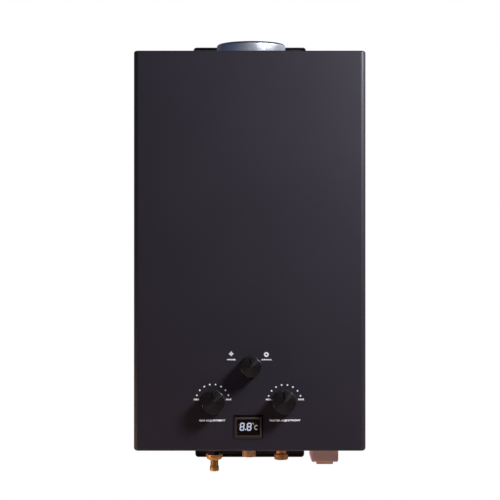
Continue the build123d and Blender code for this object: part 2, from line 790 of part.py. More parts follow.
def make_gas_valve_cap():
    """The screwed cap that closes the disc chamber and guides its spring."""
    z = up(rod_rise)
    plug_end = gas_body_left + cap_plug_length
    cap = bar(rod_y, z, gas_body_left, plug_end, disc_radius + chamber_play)
    cap -= bar(rod_y, z, gas_body_left + sheet, plug_end + through, cap_bore)
    head = hexagon(0, 0, 0, cap_head_length, cap_across_flats)
    return cap + Pos(gas_body_left - cap_head_length, rod_y, z) * Rot(Y=90) * head


def make_gas_disc():
    """The sprung disc that shuts the gas off until the push rod lifts it."""
    z = up(rod_rise)
    back = seat_x - disc_thickness
    disc = bar(rod_y, z, back, seat_x, disc_radius)
    return disc + bar(rod_y, z, back - disc_hub_length, back, disc_hub_radius)


def make_disc_spring():
    """A coil spring that seats on the disc and reaches into the cap."""
    start = gas_body_left + cap_plug_length / 2
    length = seat_x - disc_thickness - spring_wire - shaft_gap - start
    coil = Helix(pitch=length / spring_turns, height=length, radius=spring_radius)
    section = Plane(origin=coil @ 0, z_dir=coil % 0) * Circle(spring_wire)
    spring = sweep(section, path=coil, is_frenet=True)
    return Pos(start, rod_y, up(rod_rise)) * Rot(Y=90) * spring


def knob_stem(x, rise, front, rotor_front, rotor_back, rotor_radius, port):
    """A turned stem with a flat for the knob, and a rotor with a cross port at its inner end."""
    z = up(rise)
    stem = shaft(x, z, front, rotor_front, stem_radius)
    stem -= block(
        x - stem_radius, x + stem_radius, front - skim, front + knob_bore - knob_bore_mouth / 2,
        z + stem_radius - stem_flat, z + 2 * stem_radius,
    )
    rotor = shaft(x, z, rotor_front, rotor_back, rotor_radius)
    middle = (rotor_front + rotor_back) / 2
    return stem + rotor - post(x, middle, z - rotor_radius - skim, z + rotor_radius + skim, port)


def make_solenoid():
    """The flame-failure solenoid on the back of the gas valve."""
    z = up(solenoid_rise)
    end = valve_back + solenoid_length
    can = shaft(solenoid_x, z, valve_back, end, solenoid_radius)
    can = fillet(can.edges().group_by(Axis.Y)[-1], solenoid_radius / 8)
    return can + shaft(solenoid_x, z, end, solenoid_tip, solenoid_boss_radius)


nut_top, nut_bottom, nut_across_flats = -15.5, -23.8, 23.4
nipple_waist, nipple_end = -32.6, -41.0
waist_radius, barb_radius, nipple_bore = 6.0, 6.9, 3.2
lock_nut_height, lock_nut_across_flats, lock_nut_chamfer = 5.0, 24.0, 1.0
corner_reach = 1.16  # just past a hexagon's corners, by half its width across flats
gas_nut_low, hot_nut_low = -15.0, plate_low - casing_bottom - lock_nut_height
relief_radius = 10.3  # the hot outlet's shank inside its lock nut
hex_low = 3 * sheet + slip_gap  # the hex flats stand on the bottom plate
hex_height, hex_across_flats = 8.0, 24.0
shank_radius, fitting_bore = 8.0, 5.0
seat_height = 4.0  # inside the union nut, between its floor and the fitting


def make_gas_inlet_fitting():
    """A brass nipple: its hex stands on the bottom plate, its thread hangs below."""
    low = up(nut_bottom + seat_height)
    fitting = post(gas_x, fittings_y, low, up(gas_inlet_top), shank_radius)
    fitting += post(gas_x, fittings_y, low, up(hex_low), half_inch_thread)
    fitting += hexagon(gas_x, fittings_y, up(hex_low), up(hex_low + hex_height), hex_across_flats)
    return fitting - post(gas_x, fittings_y, low - through, up(gas_inlet_top) + through, fitting_bore)


def make_gas_union_nut():
    """The brass union nut, hexagonal above and turned to a bowl below."""
    height = nut_top - nut_bottom
    bowl = turned(gas_x, fittings_y, up(nut_bottom), [
        (0, 0), (7.4, 0), (9.6, 0.7), (11.2, 2.1), (12.1, 3.9), (12.5, 5.8), (12.5, height), (0, height),
    ])
    nut = bowl & hexagon(gas_x, fittings_y, up(nut_bottom), up(nut_top), nut_across_flats)
    seat = up(nut_bottom + seat_height - sheet)
    nut -= post(gas_x, fittings_y, seat, up(nut_top) + through, half_inch_thread)
    return nut - post(gas_x, fittings_y, up(nut_bottom) - through, up(nut_top), waist_radius)


def make_gas_hose_nipple():
    """The hose tail that the union nut holds: a seat, a waist and a barb."""
    z = up(nipple_end)
    waist, nut = nipple_waist - nipple_end, nut_bottom - nipple_end
    nipple = turned(gas_x, fittings_y, z, [
        (nipple_bore, 0), (barb_radius - 1.2, 0), (barb_radius - 0.3, 0.6), (barb_radius, 1.6),
        (barb_radius, waist - 1.2), (waist_radius, waist + 0.4), (waist_radius, nut + seat_height - sheet),
        (9.0, nut + seat_height - sheet), (9.0, nut + seat_height), (nipple_bore, nut + seat_height),
    ])
    return nipple


def make_lock_nuts():
    """Zinc-plated lock nuts: on the gas inlet's thread, and under the plate on the hot outlet."""
    inner = lock_nut_across_flats / 2
    outer = inner * corner_reach
    nut = hexagon(0, 0, 0, lock_nut_height, lock_nut_across_flats) & turned(0, 0, 0, [
        (0, 0), (inner, 0), (outer, lock_nut_chamfer), (outer, lock_nut_height - lock_nut_chamfer),
        (inner, lock_nut_height), (0, lock_nut_height),
    ])
    nuts = []
    for x, low, radius in ((gas_x, gas_nut_low, half_inch_thread), (hot_x, hot_nut_low, relief_radius)):
        threaded = nut - post(0, 0, -through, lock_nut_height + through, radius)
        nuts.append(Pos(x, fittings_y, up(low)) * Rot(Z=30) * threaded)
    return group(nuts)


def make_gas_train():
    parts["gas_valve_body"] = make_gas_valve_body()
    parts["gas_valve_cap"] = make_gas_valve_cap()
    parts["gas_disc"] = make_gas_disc()
    parts["gas_disc_spring"] = make_disc_spring()
    parts["gas_stem"] = knob_stem(
        gas_knob_x, lower_knob_rise, stem_tip, plug_front + plug_play, plug_back - plug_play,
        plug_radius, gas_plug_port,
    )
    parts["gas_solenoid"] = make_solenoid()
    parts["gas_inlet_fitting"] = make_gas_inlet_fitting()
    parts["gas_union_nut"] = make_gas_union_nut()
    parts["gas_hose_nipple"] = make_gas_hose_nipple()
    parts["lock_nuts"] = make_lock_nuts()


# ---------------------------------------------------------------- water valve
water_left, water_flange, water_joint = 34.0, 58.0, 66.0
diaphragm_thickness = 1.5
cover_joint = water_joint + diaphragm_thickness
housing_radius, chamber_radius = 34.0, 27.0
chamber_depth = 6.0
bolt_circle, bolt_depth = 30.0, 8.0
cover_rim, dome_height, dome_radius, dome_round, dome_wall = 7.0, 10.0, 25.5, 5.0, 4.5
water_low, outlet_floor = 30.0, 98.0
spindle_radius = 4.5
plate_radius, plate_thickness = 24.0, 2.0
collar_x, collar_width, collar_radius = 7.6, 4.0, 5.0


def bolt_places():
    return [
        (rod_y + bolt_circle * cos(radians(angle)), up(rod_rise) + bolt_circle * sin(radians(angle)))
        for angle in range(0, 360, 60)
    ]


def make_water_valve_body():
    """A brass casting: the inlet block and the inner half of the diaphragm housing."""
    z = up(rod_rise)
    body = block(water_left, water_flange, valve_front, valve_back, up(water_low), up(valve_top))
    body = fillet(body.edges().filter_by(Axis.X), casting_round)
    body += bar(rod_y, z, water_flange, water_joint, housing_radius)
    body -= bar(rod_y, z, water_joint - chamber_depth, water_joint + through, chamber_radius)
    body -= bar(rod_y, z, water_left - through, water_joint, rod_radius + shaft_gap)
    axis_z = up(lower_knob_rise)
    body -= shaft(water_knob_x, axis_z, plug_front, plug_back, spindle_radius + shaft_gap)
    body -= shaft(water_knob_x, axis_z, valve_front - through, plug_front, stem_radius + shaft_gap)
    body -= post(cold_x, fittings_y, up(water_low) - through, up(port_top), port_radius)
    body -= post(cold_x, fittings_y, up(outlet_floor), up(valve_top) + through, pipe_bore)
    for y, bolt_z in bolt_places():
        body -= bar(y, bolt_z, water_joint - bolt_depth, water_joint + through, screw_radius)
    return body


def make_water_valve_cover():
    """The outer half of the diaphragm housing."""
    z = up(rod_rise)
    shoulder = cover_joint + cover_rim
    cover = bar(rod_y, z, cover_joint, shoulder, housing_radius)
    dome = bar(rod_y, z, shoulder, shoulder + dome_height, dome_radius)
    cover += fillet(dome.edges().group_by(Axis.X)[-1], dome_round)
    cover -= bar(rod_y, z, cover_joint - through, shoulder + dome_height - dome_wall, dome_radius - dome_wall)
    for y, bolt_z in bolt_places():
        cover -= bar(y, bolt_z, cover_joint - through, shoulder + skim, screw_radius)
    return cover


def make_water_diaphragm():
    """The rubber diaphragm clamped between the housing's halves."""
    disc = bar(rod_y, up(rod_rise), water_joint, cover_joint, housing_radius)
    for y, z in bolt_places():
        disc -= bar(y, z, water_joint - skim, cover_joint + skim, screw_radius)
    return disc


def make_push_rod():
    """The plate that the diaphragm presses, the rod to the gas disc and the microswitch collar."""
    z = up(rod_rise)
    rod = bar(rod_y, z, seat_x, water_joint - plate_thickness, rod_radius)
    rod += bar(rod_y, z, water_joint - plate_thickness, water_joint, plate_radius)
    return rod + bar(rod_y, z, collar_x, collar_x + collar_width, collar_radius)


cold_end, cold_thread_length = -23.6, 8.9
hot_end, hot_mouth = -19.2, 7.0
neck_radius, neck_bore = 7.8, 6.0  # the cold inlet's slim neck
spigot_radius = 9.0  # both fittings above their hexagons


def make_cold_inlet_fitting():
    """A brass nipple: hex on the bottom plate, slim neck and a short G 1/2 thread with a rounded end."""
    x, y = cold_x, fittings_y
    thread, length = half_inch_thread, hex_low - cold_end
    fitting = turned(x, y, up(cold_end), [
        (0, 0), (thread - 2.0, 0), (thread - 0.7, 0.5), (thread, 1.6),
        (thread, cold_thread_length - 0.8), (thread - 0.8, cold_thread_length),
        (neck_radius, cold_thread_length), (neck_radius, length), (0, length),
    ])
    fitting += hexagon(x, y, up(hex_low), up(hex_low + hex_height), hex_across_flats - 2.0)
    fitting += post(x, y, up(hex_low + hex_height), up(water_low), spigot_radius)
    return fitting - post(x, y, up(cold_end) - through, up(water_low) + through, neck_bore)


def make_hot_outlet_fitting():
    """A brass nipple: hex on the bottom plate, a relief through it and a G 1/2 thread below."""
    x, y = hot_x, fittings_y
    thread, thread_length, length = half_inch_thread, hot_nut_low - hot_end, hex_low - hot_end
    fitting = turned(x, y, up(hot_end), [
        (0, 0), (thread - 0.8, 0), (thread, 0.8), (thread, thread_length),
        (relief_radius, thread_length), (relief_radius, length), (0, length),
    ])
    fitting += hexagon(x, y, up(hex_low), up(hex_low + hex_height), hex_across_flats)
    fitting += post(x, y, up(hex_low + hex_height), up(hot_joint), spigot_radius)
    fitting -= post(x, y, up(hot_end) - through, up(hot_joint) + through, fitting_bore)
    return fitting - post(x, y, up(hot_end) - through, up(hex_low), hot_mouth)


def make_water_valve_screws():
    """Six screws that clamp the diaphragm between the housing's halves."""
    shoulder = cover_joint + cover_rim
    screws = []
    for y, z in bolt_places():
        screw = bar(y, z, water_joint - bolt_depth, shoulder, screw_radius)
        screw += bar(y, z, shoulder, shoulder + screw_head_height, screw_head)
        screws.append(screw - block(
            shoulder + screw_slot_depth, shoulder + through, y - screw_head, y + screw_head,
            z - screw_slot_half, z + screw_slot_half,
        ))
    return group(screws)


def make_water_train():
    parts["water_valve_body"] = make_water_valve_body()
    parts["water_valve_cover"] = make_water_valve_cover()
    parts["water_diaphragm"] = make_water_diaphragm()
    parts["push_rod"] = make_push_rod()
    parts["water_valve_screws"] = make_water_valve_screws()
    parts["water_spindle"] = knob_stem(
        water_knob_x, lower_knob_rise, stem_tip, plug_front + plug_play, plug_back - plug_play,
        spindle_radius, water_plug_port,
    )
    parts["cold_inlet_fitting"] = make_cold_inlet_fitting()
    parts["hot_outlet_fitting"] = make_hot_outlet_fitting()


# ---------------------------------------------------------------- selector
selector_round = 3.0
selector_face, selector_rear_wall = 5.0, 4.0  # brass left in front of its plug and behind it


def make_selector_valve():
    """A brass cock that feeds all the burner bars in winter and half of them in summer."""
    x = selector_knob_x
    body = block(
        x - selector_half, x + selector_half, selector_front, selector_back,
        up(selector_low), up(selector_high),
    )
    body = fillet(body.edges(), selector_round)
    z = up(upper_knob_rise)
    plug_face = selector_front + selector_face
    body -= shaft(x, z, plug_face, selector_back - selector_rear_wall, plug_radius + shaft_gap)
    body -= shaft(x, z, selector_front - through, plug_face, stem_radius + shaft_gap)
    body -= bar(selector_y, up(transfer_rise), x - selector_half - through, x, gas_pipe_bore - sheet)
    return body - post(x, selector_y, z, up(selector_high) + through, gas_pipe_bore)


# ---------------------------------------------------------------- knobs
knob_gap = 1.5  # between a knob and the cover
knob_height = 17.5
knob_cone = 1.8  # the face rises to a shallow point
knob_draft, knob_shoulder = 1.2, 1.3
knob_wall = 2.6
knob_hub = 5.2
knob_bore, knob_bore_mouth = 13.0, 3.0  # its mouth is round, the rest has a flat
stem_tip = cover_face - knob_gap - knob_bore
lower_knob_radius, upper_knob_radius = 18.4, 16.3
groove_width, groove_depth = 2.0, 1.2
groove_start, groove_stop = 0.25, 0.82  # both ends of the groove, as shares of the knob's radius


def make_knob(x, rise, radius, lean):
    """A moulded knob: a shell with a hub for the stem, and a pointer groove that leans left by an angle."""
    knob = revolve(
        Plane.XZ * make_face(Polyline(
            (0, 0), (radius, 0), (radius - knob_draft, knob_height), (0, knob_height + knob_cone),
            close=True,
        )),
        Axis.Z,
    )
    shoulder = knob.edges().filter_by(GeomType.CIRCLE).group_by(Axis.Z)[-1]
    knob = fillet(shoulder, knob_shoulder)
    deep = knob_height - knob_wall
    knob -= post(0, 0, 0, deep, radius - knob_wall) - post(0, 0, 0, deep, knob_hub)
    bore = post(0, 0, -through, knob_bore, stem_radius)
    knob -= bore - block(
        -stem_radius, stem_radius, stem_radius - stem_flat, stem_radius, knob_bore_mouth, knob_bore
    )
    start, stop = groove_start * radius, groove_stop * radius
    groove = extrude(SlotOverall(stop - start, groove_width, rotation=90), knob_cone + through)
    knob -= Rot(Z=lean) * Pos(0, (start + stop) / 2, knob_height - groove_depth) * groove
    return Pos(x, cover_face - knob_gap, up(rise)) * Rot(X=90) * knob


gas_knob_lean, water_knob_lean, selector_knob_lean = 11.0, 5.0, 10.0


def make_controls():
    parts["gas_knob"] = make_knob(gas_knob_x, lower_knob_rise, lower_knob_radius, gas_knob_lean)
    parts["water_knob"] = make_knob(water_knob_x, lower_knob_rise, lower_knob_radius, water_knob_lean)
    parts["selector_knob"] = make_knob(
        selector_knob_x, upper_knob_rise, upper_knob_radius, selector_knob_lean
    )
    parts["selector_valve"] = make_selector_valve()
    parts["selector_stem"] = knob_stem(
        selector_knob_x, upper_knob_rise, stem_tip, selector_front + selector_face + plug_play,
        selector_back - selector_rear_wall - plug_play, plug_radius, selector_plug_port,
    )


# ---------------------------------------------------------------- bridge and microswitch
bridge_front, bridge_back = -88.0, -86.0
bridge_low, bridge_high = 62.0, 119.0
arm_left, arm_right, arm_sheet = -6.0, 10.0, 2.0
switch_left, switch_right = -17.0, 3.0
switch_front = bridge_front - 10.0
switch_low, switch_high, switch_corner = 98.0, 110.0, 1.0
ear_low, ear_reach, ear_thickness, ear_pitch = 104.0, 2.0, 0.8, 5.2
button_rise, button_radius, button_length = 101.0, 1.0, 1.2
lever_pivot_rise = 107.0
lever_pin, lever_thickness, lever_width = 1.0, 0.6, 4.0
lever_tip_rise = 92.6
lever_x = collar_x - slip_gap - lever_thickness / 2


def make_valve_bridge():
    """A plate that joins the two valve bodies, with an arm forward to the selector valve."""
    top = up(bridge_high)
    plate = block(gas_body_right, water_left, bridge_front, bridge_back, up(bridge_low), top)
    arm = block(arm_left, arm_right, selector_back, bridge_front, top - arm_sheet, top)
    return plate + arm


def make_microswitch():
    """A small snap switch on the bridge, with two ears for its lever and a button below them."""
    switch = block(switch_left, switch_right, switch_front, bridge_front, up(switch_low), up(switch_high))
    switch = fillet(switch.edges().filter_by(Axis.Y), switch_corner)
    for y in (switch_front, switch_front + ear_pitch):
        ear = block(switch_right, lever_x + ear_reach, y, y + ear_thickness, up(ear_low), up(switch_high))
        switch += ear - shaft(lever_x, up(lever_pivot_rise), y - skim, y + skim, lever_pin + shaft_gap)
    button_y = switch_front + (ear_pitch + ear_thickness) / 2
    button_tip = switch_right + button_length
    return switch + bar(button_y, up(button_rise), switch_right, button_tip, button_radius)


def make_microswitch_lever():
    """The blade that the push rod's collar swings towards the button."""
    far_ear = switch_front + ear_pitch + ear_thickness
    middle = (switch_front + far_ear) / 2
    blade = block(
        lever_x - lever_thickness / 2, lever_x + lever_thickness / 2,
        middle - lever_width / 2, middle + lever_width / 2, up(lever_tip_rise), up(lever_pivot_rise),
    )
    return blade + shaft(lever_x, up(lever_pivot_rise), switch_front, far_ear, lever_pin)


def make_switchgear():
    parts["valve_bridge"] = make_valve_bridge()
    parts["microswitch"] = make_microswitch()
    parts["microswitch_lever"] = make_microswitch_lever()


# ---------------------------------------------------------------- ignition and sensors
igniter_left, igniter_right = -162.0, -98.0
igniter_low, igniter_high = 20.0, 130.0
igniter_front, igniter_corner = -43.0, 4.0
lid_line_back, lid_line_width = 8.0, 0.6  # a groove all round, where the lid meets the box
socket_xs = (-118.0, -110.0, -102.0)
socket_y, socket_radius, socket_height = -30.0, 3.0, 6.0
insulator_front, insulator_back = -150.0, -126.0
insulator_collar, insulator_collar_length = 5.0, 3.0
electrode_reach, electrode_drop, electrode_bend, electrode_radius = 10.0, 12.0, 4.0, 1.2
lead_radius, thin_lead_radius = 1.5, 1.0
boot_radius, boot_length = 3.2, 6.0
sensor_x, sensor_rise, sensor_radius, sensor_depth = 90.0, 260.5, 7.0, 8.0
shell_front = flue_y - exchanger_depth / 2
probe_rise, probe_radius, probe_length = 30.0, 4.0, 16.0


def make_igniter_box():
    """The moulded spark and control unit on the back panel, with its lid line and sockets."""
    box = block(igniter_left, igniter_right, igniter_front, panel_front, up(igniter_low), up(igniter_high))
    box = fillet(box.edges().filter_by(Axis.Y), igniter_corner)
    lid_line = igniter_front + lid_line_back
    groove = block(
        igniter_left - skim, igniter_right + skim, lid_line, lid_line + lid_line_width,
        up(igniter_low) - skim, up(igniter_high) + skim,
    )
    groove -= block(
        igniter_left + lid_line_width, igniter_right - lid_line_width, igniter_front, panel_front,
        up(igniter_low) + lid_line_width, up(igniter_high) - lid_line_width,
    )
    box -= groove
    for x in socket_xs:
        box += post(x, socket_y, up(igniter_high) - skim, up(igniter_high) + socket_height, socket_radius)
    return box


def make_electrode_insulators():
    """White ceramic sleeves through the front of the combustion chamber."""
    sleeves = []
    for x in electrode_xs:
        sleeve = shaft(x, up(electrode_rise), insulator_front, insulator_back, insulator_radius)
        collar = shaft(
            x, up(electrode_rise), shell_front - insulator_collar_length, shell_front, insulator_collar
        )
        sleeves.append(sleeve + collar)
    return group(sleeves)


def make_electrode_rods():
    """The spark electrode and the flame sensor, each bent down towards the burner."""
    return group([
        pipe(
            [
                (x, insulator_back, up(electrode_rise)),
                (x, insulator_back + electrode_reach, up(electrode_rise)),
                (x, insulator_back + electrode_reach, up(electrode_rise - electrode_drop)),
            ],
            electrode_bend, electrode_radius,
        )
        for x in electrode_xs
    ])


def rising_points(index):
    """The common route of the leads that climb past the burner's left end, side by side."""
    side = 3.5 * index
    return [
        (socket_xs[index], socket_y, up(igniter_high + socket_height)),
        (socket_xs[index], socket_y, up(158)),
        (-129.0 + 4.5 * index, -58.0, up(180)),
        (-144.0 + side, -104.0, up(194)),
        (-146.0 + side, -134.0, up(206)),
        (-143.0 + side, -151.0, up(230 - 4 * index)),
    ]


def make_leads():
    """Electrode leads with their boots, and the leads of the sensors, switches, display and cells."""
    boot_y = insulator_front - boot_length / 2
    board_y, sensor_y, probe_y = display_board_back, shell_front - sensor_depth, fittings_y - probe_length
    routes = [
        (lead_radius, rising_points(0) + [
            (-108, -154, up(245)), (-70, -154, up(250)), (electrode_xs[0], boot_y, up(electrode_rise)),
        ]),
        (lead_radius, rising_points(1) + [
            (-104, -155, up(236)), (-55, -155, up(239)), (-5, -155, up(244)),
            (electrode_xs[1], boot_y, up(electrode_rise)),
        ]),
        (thin_lead_radius, rising_points(2) + [
            (-100, -154, up(228)), (-45, -154, up(230)), (10, -154, up(231)), (56, -153, up(238)),
            (80, -155, up(252)), (sensor_x, sensor_y - 7, up(sensor_rise)),
            (sensor_x, sensor_y, up(sensor_rise)),
        ]),
        (thin_lead_radius, [
            (box_left, -56, up(36)), (80, -56, up(36)), (62, -44, up(28)), (34, -34, up(22)),
            (-12, -31, up(20)), (-58, -34, up(24)), (-84, -30, up(36)), (igniter_right, -30, up(36)),
        ]),
        (thin_lead_radius, [
            (solenoid_x, solenoid_tip, up(solenoid_rise)), (solenoid_x, -16, up(solenoid_rise)),
            (-76, -12, up(90)), (-88, -14, up(96)), (igniter_right, -14, up(96)),
        ]),
        (thin_lead_radius, [
            (-20, board_y, up(26)), (-20, -140, up(26)), (-36, -124, up(26)), (-66, -100, up(30)),
            (-86, -60, up(40)), (-88, -38, up(48)), (igniter_right, -38, up(48)),
        ]),
        (thin_lead_radius, [
            (hot_x, probe_y, up(probe_rise)), (hot_x, -102, up(probe_rise)), (5, -122, up(25)),
            (2, -140, up(26)), (2, board_y, up(26)),
        ]),
        (thin_lead_radius, [
            (switch_left, -93, up(104)), (-23, -93, up(104)), (-24, -92, up(124)), (-34, -70, up(127)),
            (-60, -44, up(120)), (-86, -22, up(112)), (igniter_right, -22, up(112)),
        ]),
    ]
    leads = [lead(points, radius) for radius, points in routes]
    boot_front = insulator_front - boot_length
    for index, x in enumerate(electrode_xs):
        leads[index] += shaft(x, up(electrode_rise), boot_front, insulator_front, boot_radius)
    return group(leads)


def make_temperature_sensors():
    """The overheat switch on the chamber, and the probe beside the hot outlet pipe."""
    switch = shaft(sensor_x, up(sensor_rise), shell_front - sensor_depth, shell_front, sensor_radius)
    switch = fillet(switch.edges().group_by(Axis.Y)[0], sheet)
    probe = shaft(hot_x, up(probe_rise), fittings_y - probe_length, fittings_y - pipe_radius, probe_radius)
    return group([switch, probe])


def make_ignition():
    parts["igniter_box"] = make_igniter_box()
    parts["electrode_insulators"] = make_electrode_insulators()
    parts["electrode_rods"] = make_electrode_rods()
    parts["leads"] = make_leads()
    parts["temperature_sensors"] = make_temperature_sensors()


# ---------------------------------------------------------------- display
bezel_width, bezel_height = 43.6, 35.6
lip_outer_width, lip_outer_height = 38.7, 29.1  # the lip round the window, above the mitred slopes
lip_flat = 0.4  # the lip's level inner edge
bezel_stand, lip_stand, bezel_edge = 3.0, 2.3, 0.4  # how far the lip's two edges and the rim stand out
window_width, window_height, window_thickness = 33.8, 23.7, 1.2
window_recess, window_lap, window_play = 1.8, 1.0, 0.1
sleeve_back = cover_face + 8.0
display_board_back = sleeve_back + 1.6
board_width, board_height = 42.0, 34.0
numeral_block_width, numeral_block_height = 32.0, 22.0


def display_block(width, height, front, back):
    """A box centred on the display."""
    x, z = display_x, up(display_rise)
    return block(x - width / 2, x + width / 2, front, back, z - height / 2, z + height / 2)


def make_display_bezel():
    """A moulded frame with mitred slopes, a crowned lip and a sleeve that passes through the cover."""
    front, edge = cover_face - bezel_stand, cover_face - bezel_edge
    middle = Pos(display_x, 0, up(display_rise)) * Rot(X=90)
    rim = middle * Pos(0, 0, -edge) * Rectangle(bezel_width, bezel_height)
    lip_outside = middle * Pos(0, 0, lip_stand - cover_face) * Rectangle(lip_outer_width, lip_outer_height)
    lip_inside = middle * Pos(0, 0, -front) * Rectangle(
        window_width + 2 * lip_flat, window_height + 2 * lip_flat
    )
    bezel = loft([rim, lip_outside]) + loft([lip_outside, lip_inside])
    bezel += display_block(bezel_width, bezel_height, edge, cover_face)
    bezel += display_block(
        sleeve_width - 2 * slip_gap, sleeve_height - 2 * slip_gap, cover_face, sleeve_back
    )
    bezel -= display_block(window_width, window_height, front - skim, sleeve_back + skim)
    return bezel - display_block(
        window_width + 2 * window_lap, window_height + 2 * window_lap,
        front + window_recess, sleeve_back + skim,
    )


def make_display_window():
    front = cover_face - bezel_stand + window_recess
    grown = 2 * (window_lap - window_play)
    return display_block(window_width + grown, window_height + grown, front, front + window_thickness)


def make_display_board():
    """The circuit board behind the window, with its block of numerals."""
    board = display_block(board_width, board_height, sleeve_back, display_board_back)
    return board + display_block(numeral_block_width, numeral_block_height, cover_inside, sleeve_back)


def make_display():
    parts["display_bezel"] = make_display_bezel()
    parts["display_window"] = make_display_window()
    parts["display_board"] = make_display_board()


# ---------------------------------------------------------------- battery supply
box_wall, box_corner = 2.0, 3.0
box_low, box_high = -18.5, 52.0
rim_reach, rim_lap, rim_height = 4.0, 1.0, 2.0  # the rim that rests on the bottom plate
door_low, door_high = -20.7, -18.7
door_inset, door_back_gap, door_bevel = 0.8, 0.6, 0.7
hinge_rise, hinge_radius, hinge_pin = -21.1, 2.4, 1.2
hinge_y = battery_y + battery_depth / 2 + 2.0
lug_inset, lug_width, lug_top = 2.0, 6.0, -10.0
pin_inset = 3.0  # the pins end inside the lugs
cell_radius, cell_length = 17.0, 61.5
cell_low, cell_stud_radius, cell_stud_height = -17.6, 4.0, 1.5
strip_thickness, strip_half_width, strip_reach, strip_stud_radius = 0.8, 6.0, 8.0, 3.0
tab_width, tab_depth, tab_setback, tab_low = 25.0, 12.0, 4.0, -24.5
tab_side_round, tab_end_round = 2.0, 1.0
box_left, box_right = battery_x - battery_width / 2, battery_x + battery_width / 2
box_front, box_back = battery_y - battery_depth / 2, battery_y + battery_depth / 2
cell_ys = (battery_y - cell_radius - 0.6, battery_y + cell_radius + 0.6)


def make_battery_box():
    """A moulded well for two cells, open below, with hinge lugs and a flange on the bottom plate."""
    box = block(box_left, box_right, box_front, box_back, up(box_low), up(box_high))
    box = fillet(box.edges().filter_by(Axis.Z), box_corner)
    hollow = block(
        box_left + box_wall, box_right - box_wall, box_front + box_wall, box_back - box_wall,
        up(box_low) - skim, up(box_high - box_wall),
    )
    box -= fillet(hollow.edges().filter_by(Axis.Z), box_corner - box_wall)
    box += block(
        box_left - rim_reach, box_right + rim_reach, box_front - rim_reach, box_back + rim_reach,
        plate_high, plate_high + rim_height,
    ) - block(
        box_left + rim_lap, box_right - rim_lap, box_front + rim_lap, box_back - rim_lap,
        plate_high - skim, plate_high + rim_height + skim,
    )
    for x0 in (box_left + lug_inset, box_right - lug_inset - lug_width):
        x1 = x0 + lug_width
        lug = block(x0, x1, box_back, hinge_y + hinge_radius, up(hinge_rise), up(lug_top))
        lug += block(x0, x1, box_back - box_wall, box_back, up(box_low), up(lug_top))
        lug += bar(hinge_y, up(hinge_rise), x0, x1, hinge_radius)
        lug -= block(x0 - skim, x1 + skim, box_front, box_back, up(tab_low), up(box_low))
        box += lug - bar(hinge_y, up(hinge_rise), x0 - skim, x1 + skim, hinge_pin + shaft_gap)
    return box


def make_battery_door():
    """The door under the cells, with a hinge barrel and two pins."""
    door = block(
        box_left + door_inset, box_right - door_inset, box_front + door_inset, box_back - door_back_gap,
        up(door_low), up(door_high),
    )
    door = fillet(door.edges().filter_by(Axis.Z), box_corner - door_inset)
    door = chamfer(door.edges().group_by(Axis.Z)[0], door_bevel)
    barrel_inset = lug_inset + lug_width + slip_gap
    barrel_left, barrel_right = box_left + barrel_inset, box_right - barrel_inset
    arm = block(barrel_left, barrel_right, box_back - 2 * box_wall, hinge_y, up(door_low), up(door_high))
    barrel = bar(hinge_y, up(hinge_rise), barrel_left, barrel_right, hinge_radius)
    pins = bar(hinge_y, up(hinge_rise), box_left + pin_inset, box_right - pin_inset, hinge_pin)
    return door + arm + barrel + pins


def make_door_tab():
    """The finger tab by which the door is pulled down."""
    tab = block(
        battery_x - tab_width / 2, battery_x + tab_width / 2,
        box_front + tab_setback, box_front + tab_setback + tab_depth, up(tab_low), up(door_low),
    )
    tab = fillet(tab.edges().filter_by(Axis.Z), tab_side_round)
    return fillet(tab.edges().group_by(Axis.Z)[0], tab_end_round)


def make_battery_cells():
    cells = []
    for y in cell_ys:
        cell = post(battery_x, y, up(cell_low), up(cell_low + cell_length - cell_stud_height), cell_radius)
        cells.append(cell + post(battery_x, y, up(cell_low), up(cell_low + cell_length), cell_stud_radius))
    return group(cells)


def make_battery_contacts():
    """A nickel strip across the top of both cells, with a stud down to each."""
    top = up(cell_low + cell_length)
    strip_high = up(box_high - box_wall)
    strip = block(
        battery_x - strip_half_width, battery_x + strip_half_width, cell_ys[0] - strip_reach,
        cell_ys[1] + strip_reach, strip_high - strip_thickness, strip_high,
    )
    for y in cell_ys:
        strip += post(battery_x, y, top, strip_high - strip_thickness, strip_stud_radius)
    return strip


def make_battery_supply():
    parts["battery_box"] = make_battery_box()
    parts["battery_door"] = make_battery_door()
    parts["door_tab"] = make_door_tab()
    parts["battery_cells"] = make_battery_cells()
    parts["battery_contacts"] = make_battery_contacts()


# ---------------------------------------------------------------- the whole heater
make_casing()
make_flue()
make_heat_exchanger()
make_burner()
make_gas_train()
make_water_train()
make_controls()
make_switchgear()
make_ignition()
make_display()
make_battery_supply()

os.makedirs("parts", exist_ok=True)
for node, solid in parts.items():
    export_step(solid, f"parts/{node}.step")
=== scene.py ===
import math

import bmesh
import bpy
from mathutils import Matrix, Vector


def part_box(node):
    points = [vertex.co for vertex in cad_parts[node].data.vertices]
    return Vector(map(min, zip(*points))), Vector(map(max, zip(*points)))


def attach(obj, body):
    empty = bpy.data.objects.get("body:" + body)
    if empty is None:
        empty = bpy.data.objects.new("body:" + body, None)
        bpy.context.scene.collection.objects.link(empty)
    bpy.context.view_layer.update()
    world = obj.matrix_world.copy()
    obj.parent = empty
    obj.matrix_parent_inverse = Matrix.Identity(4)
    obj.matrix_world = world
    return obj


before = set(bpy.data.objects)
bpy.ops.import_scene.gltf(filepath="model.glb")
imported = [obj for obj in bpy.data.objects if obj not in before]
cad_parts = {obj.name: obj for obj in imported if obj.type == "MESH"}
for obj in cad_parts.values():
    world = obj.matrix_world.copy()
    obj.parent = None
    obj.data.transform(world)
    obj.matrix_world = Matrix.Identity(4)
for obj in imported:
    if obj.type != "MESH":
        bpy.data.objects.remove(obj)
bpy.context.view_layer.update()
scene = bpy.context.scene
scene.view_settings.view_transform = "Standard"


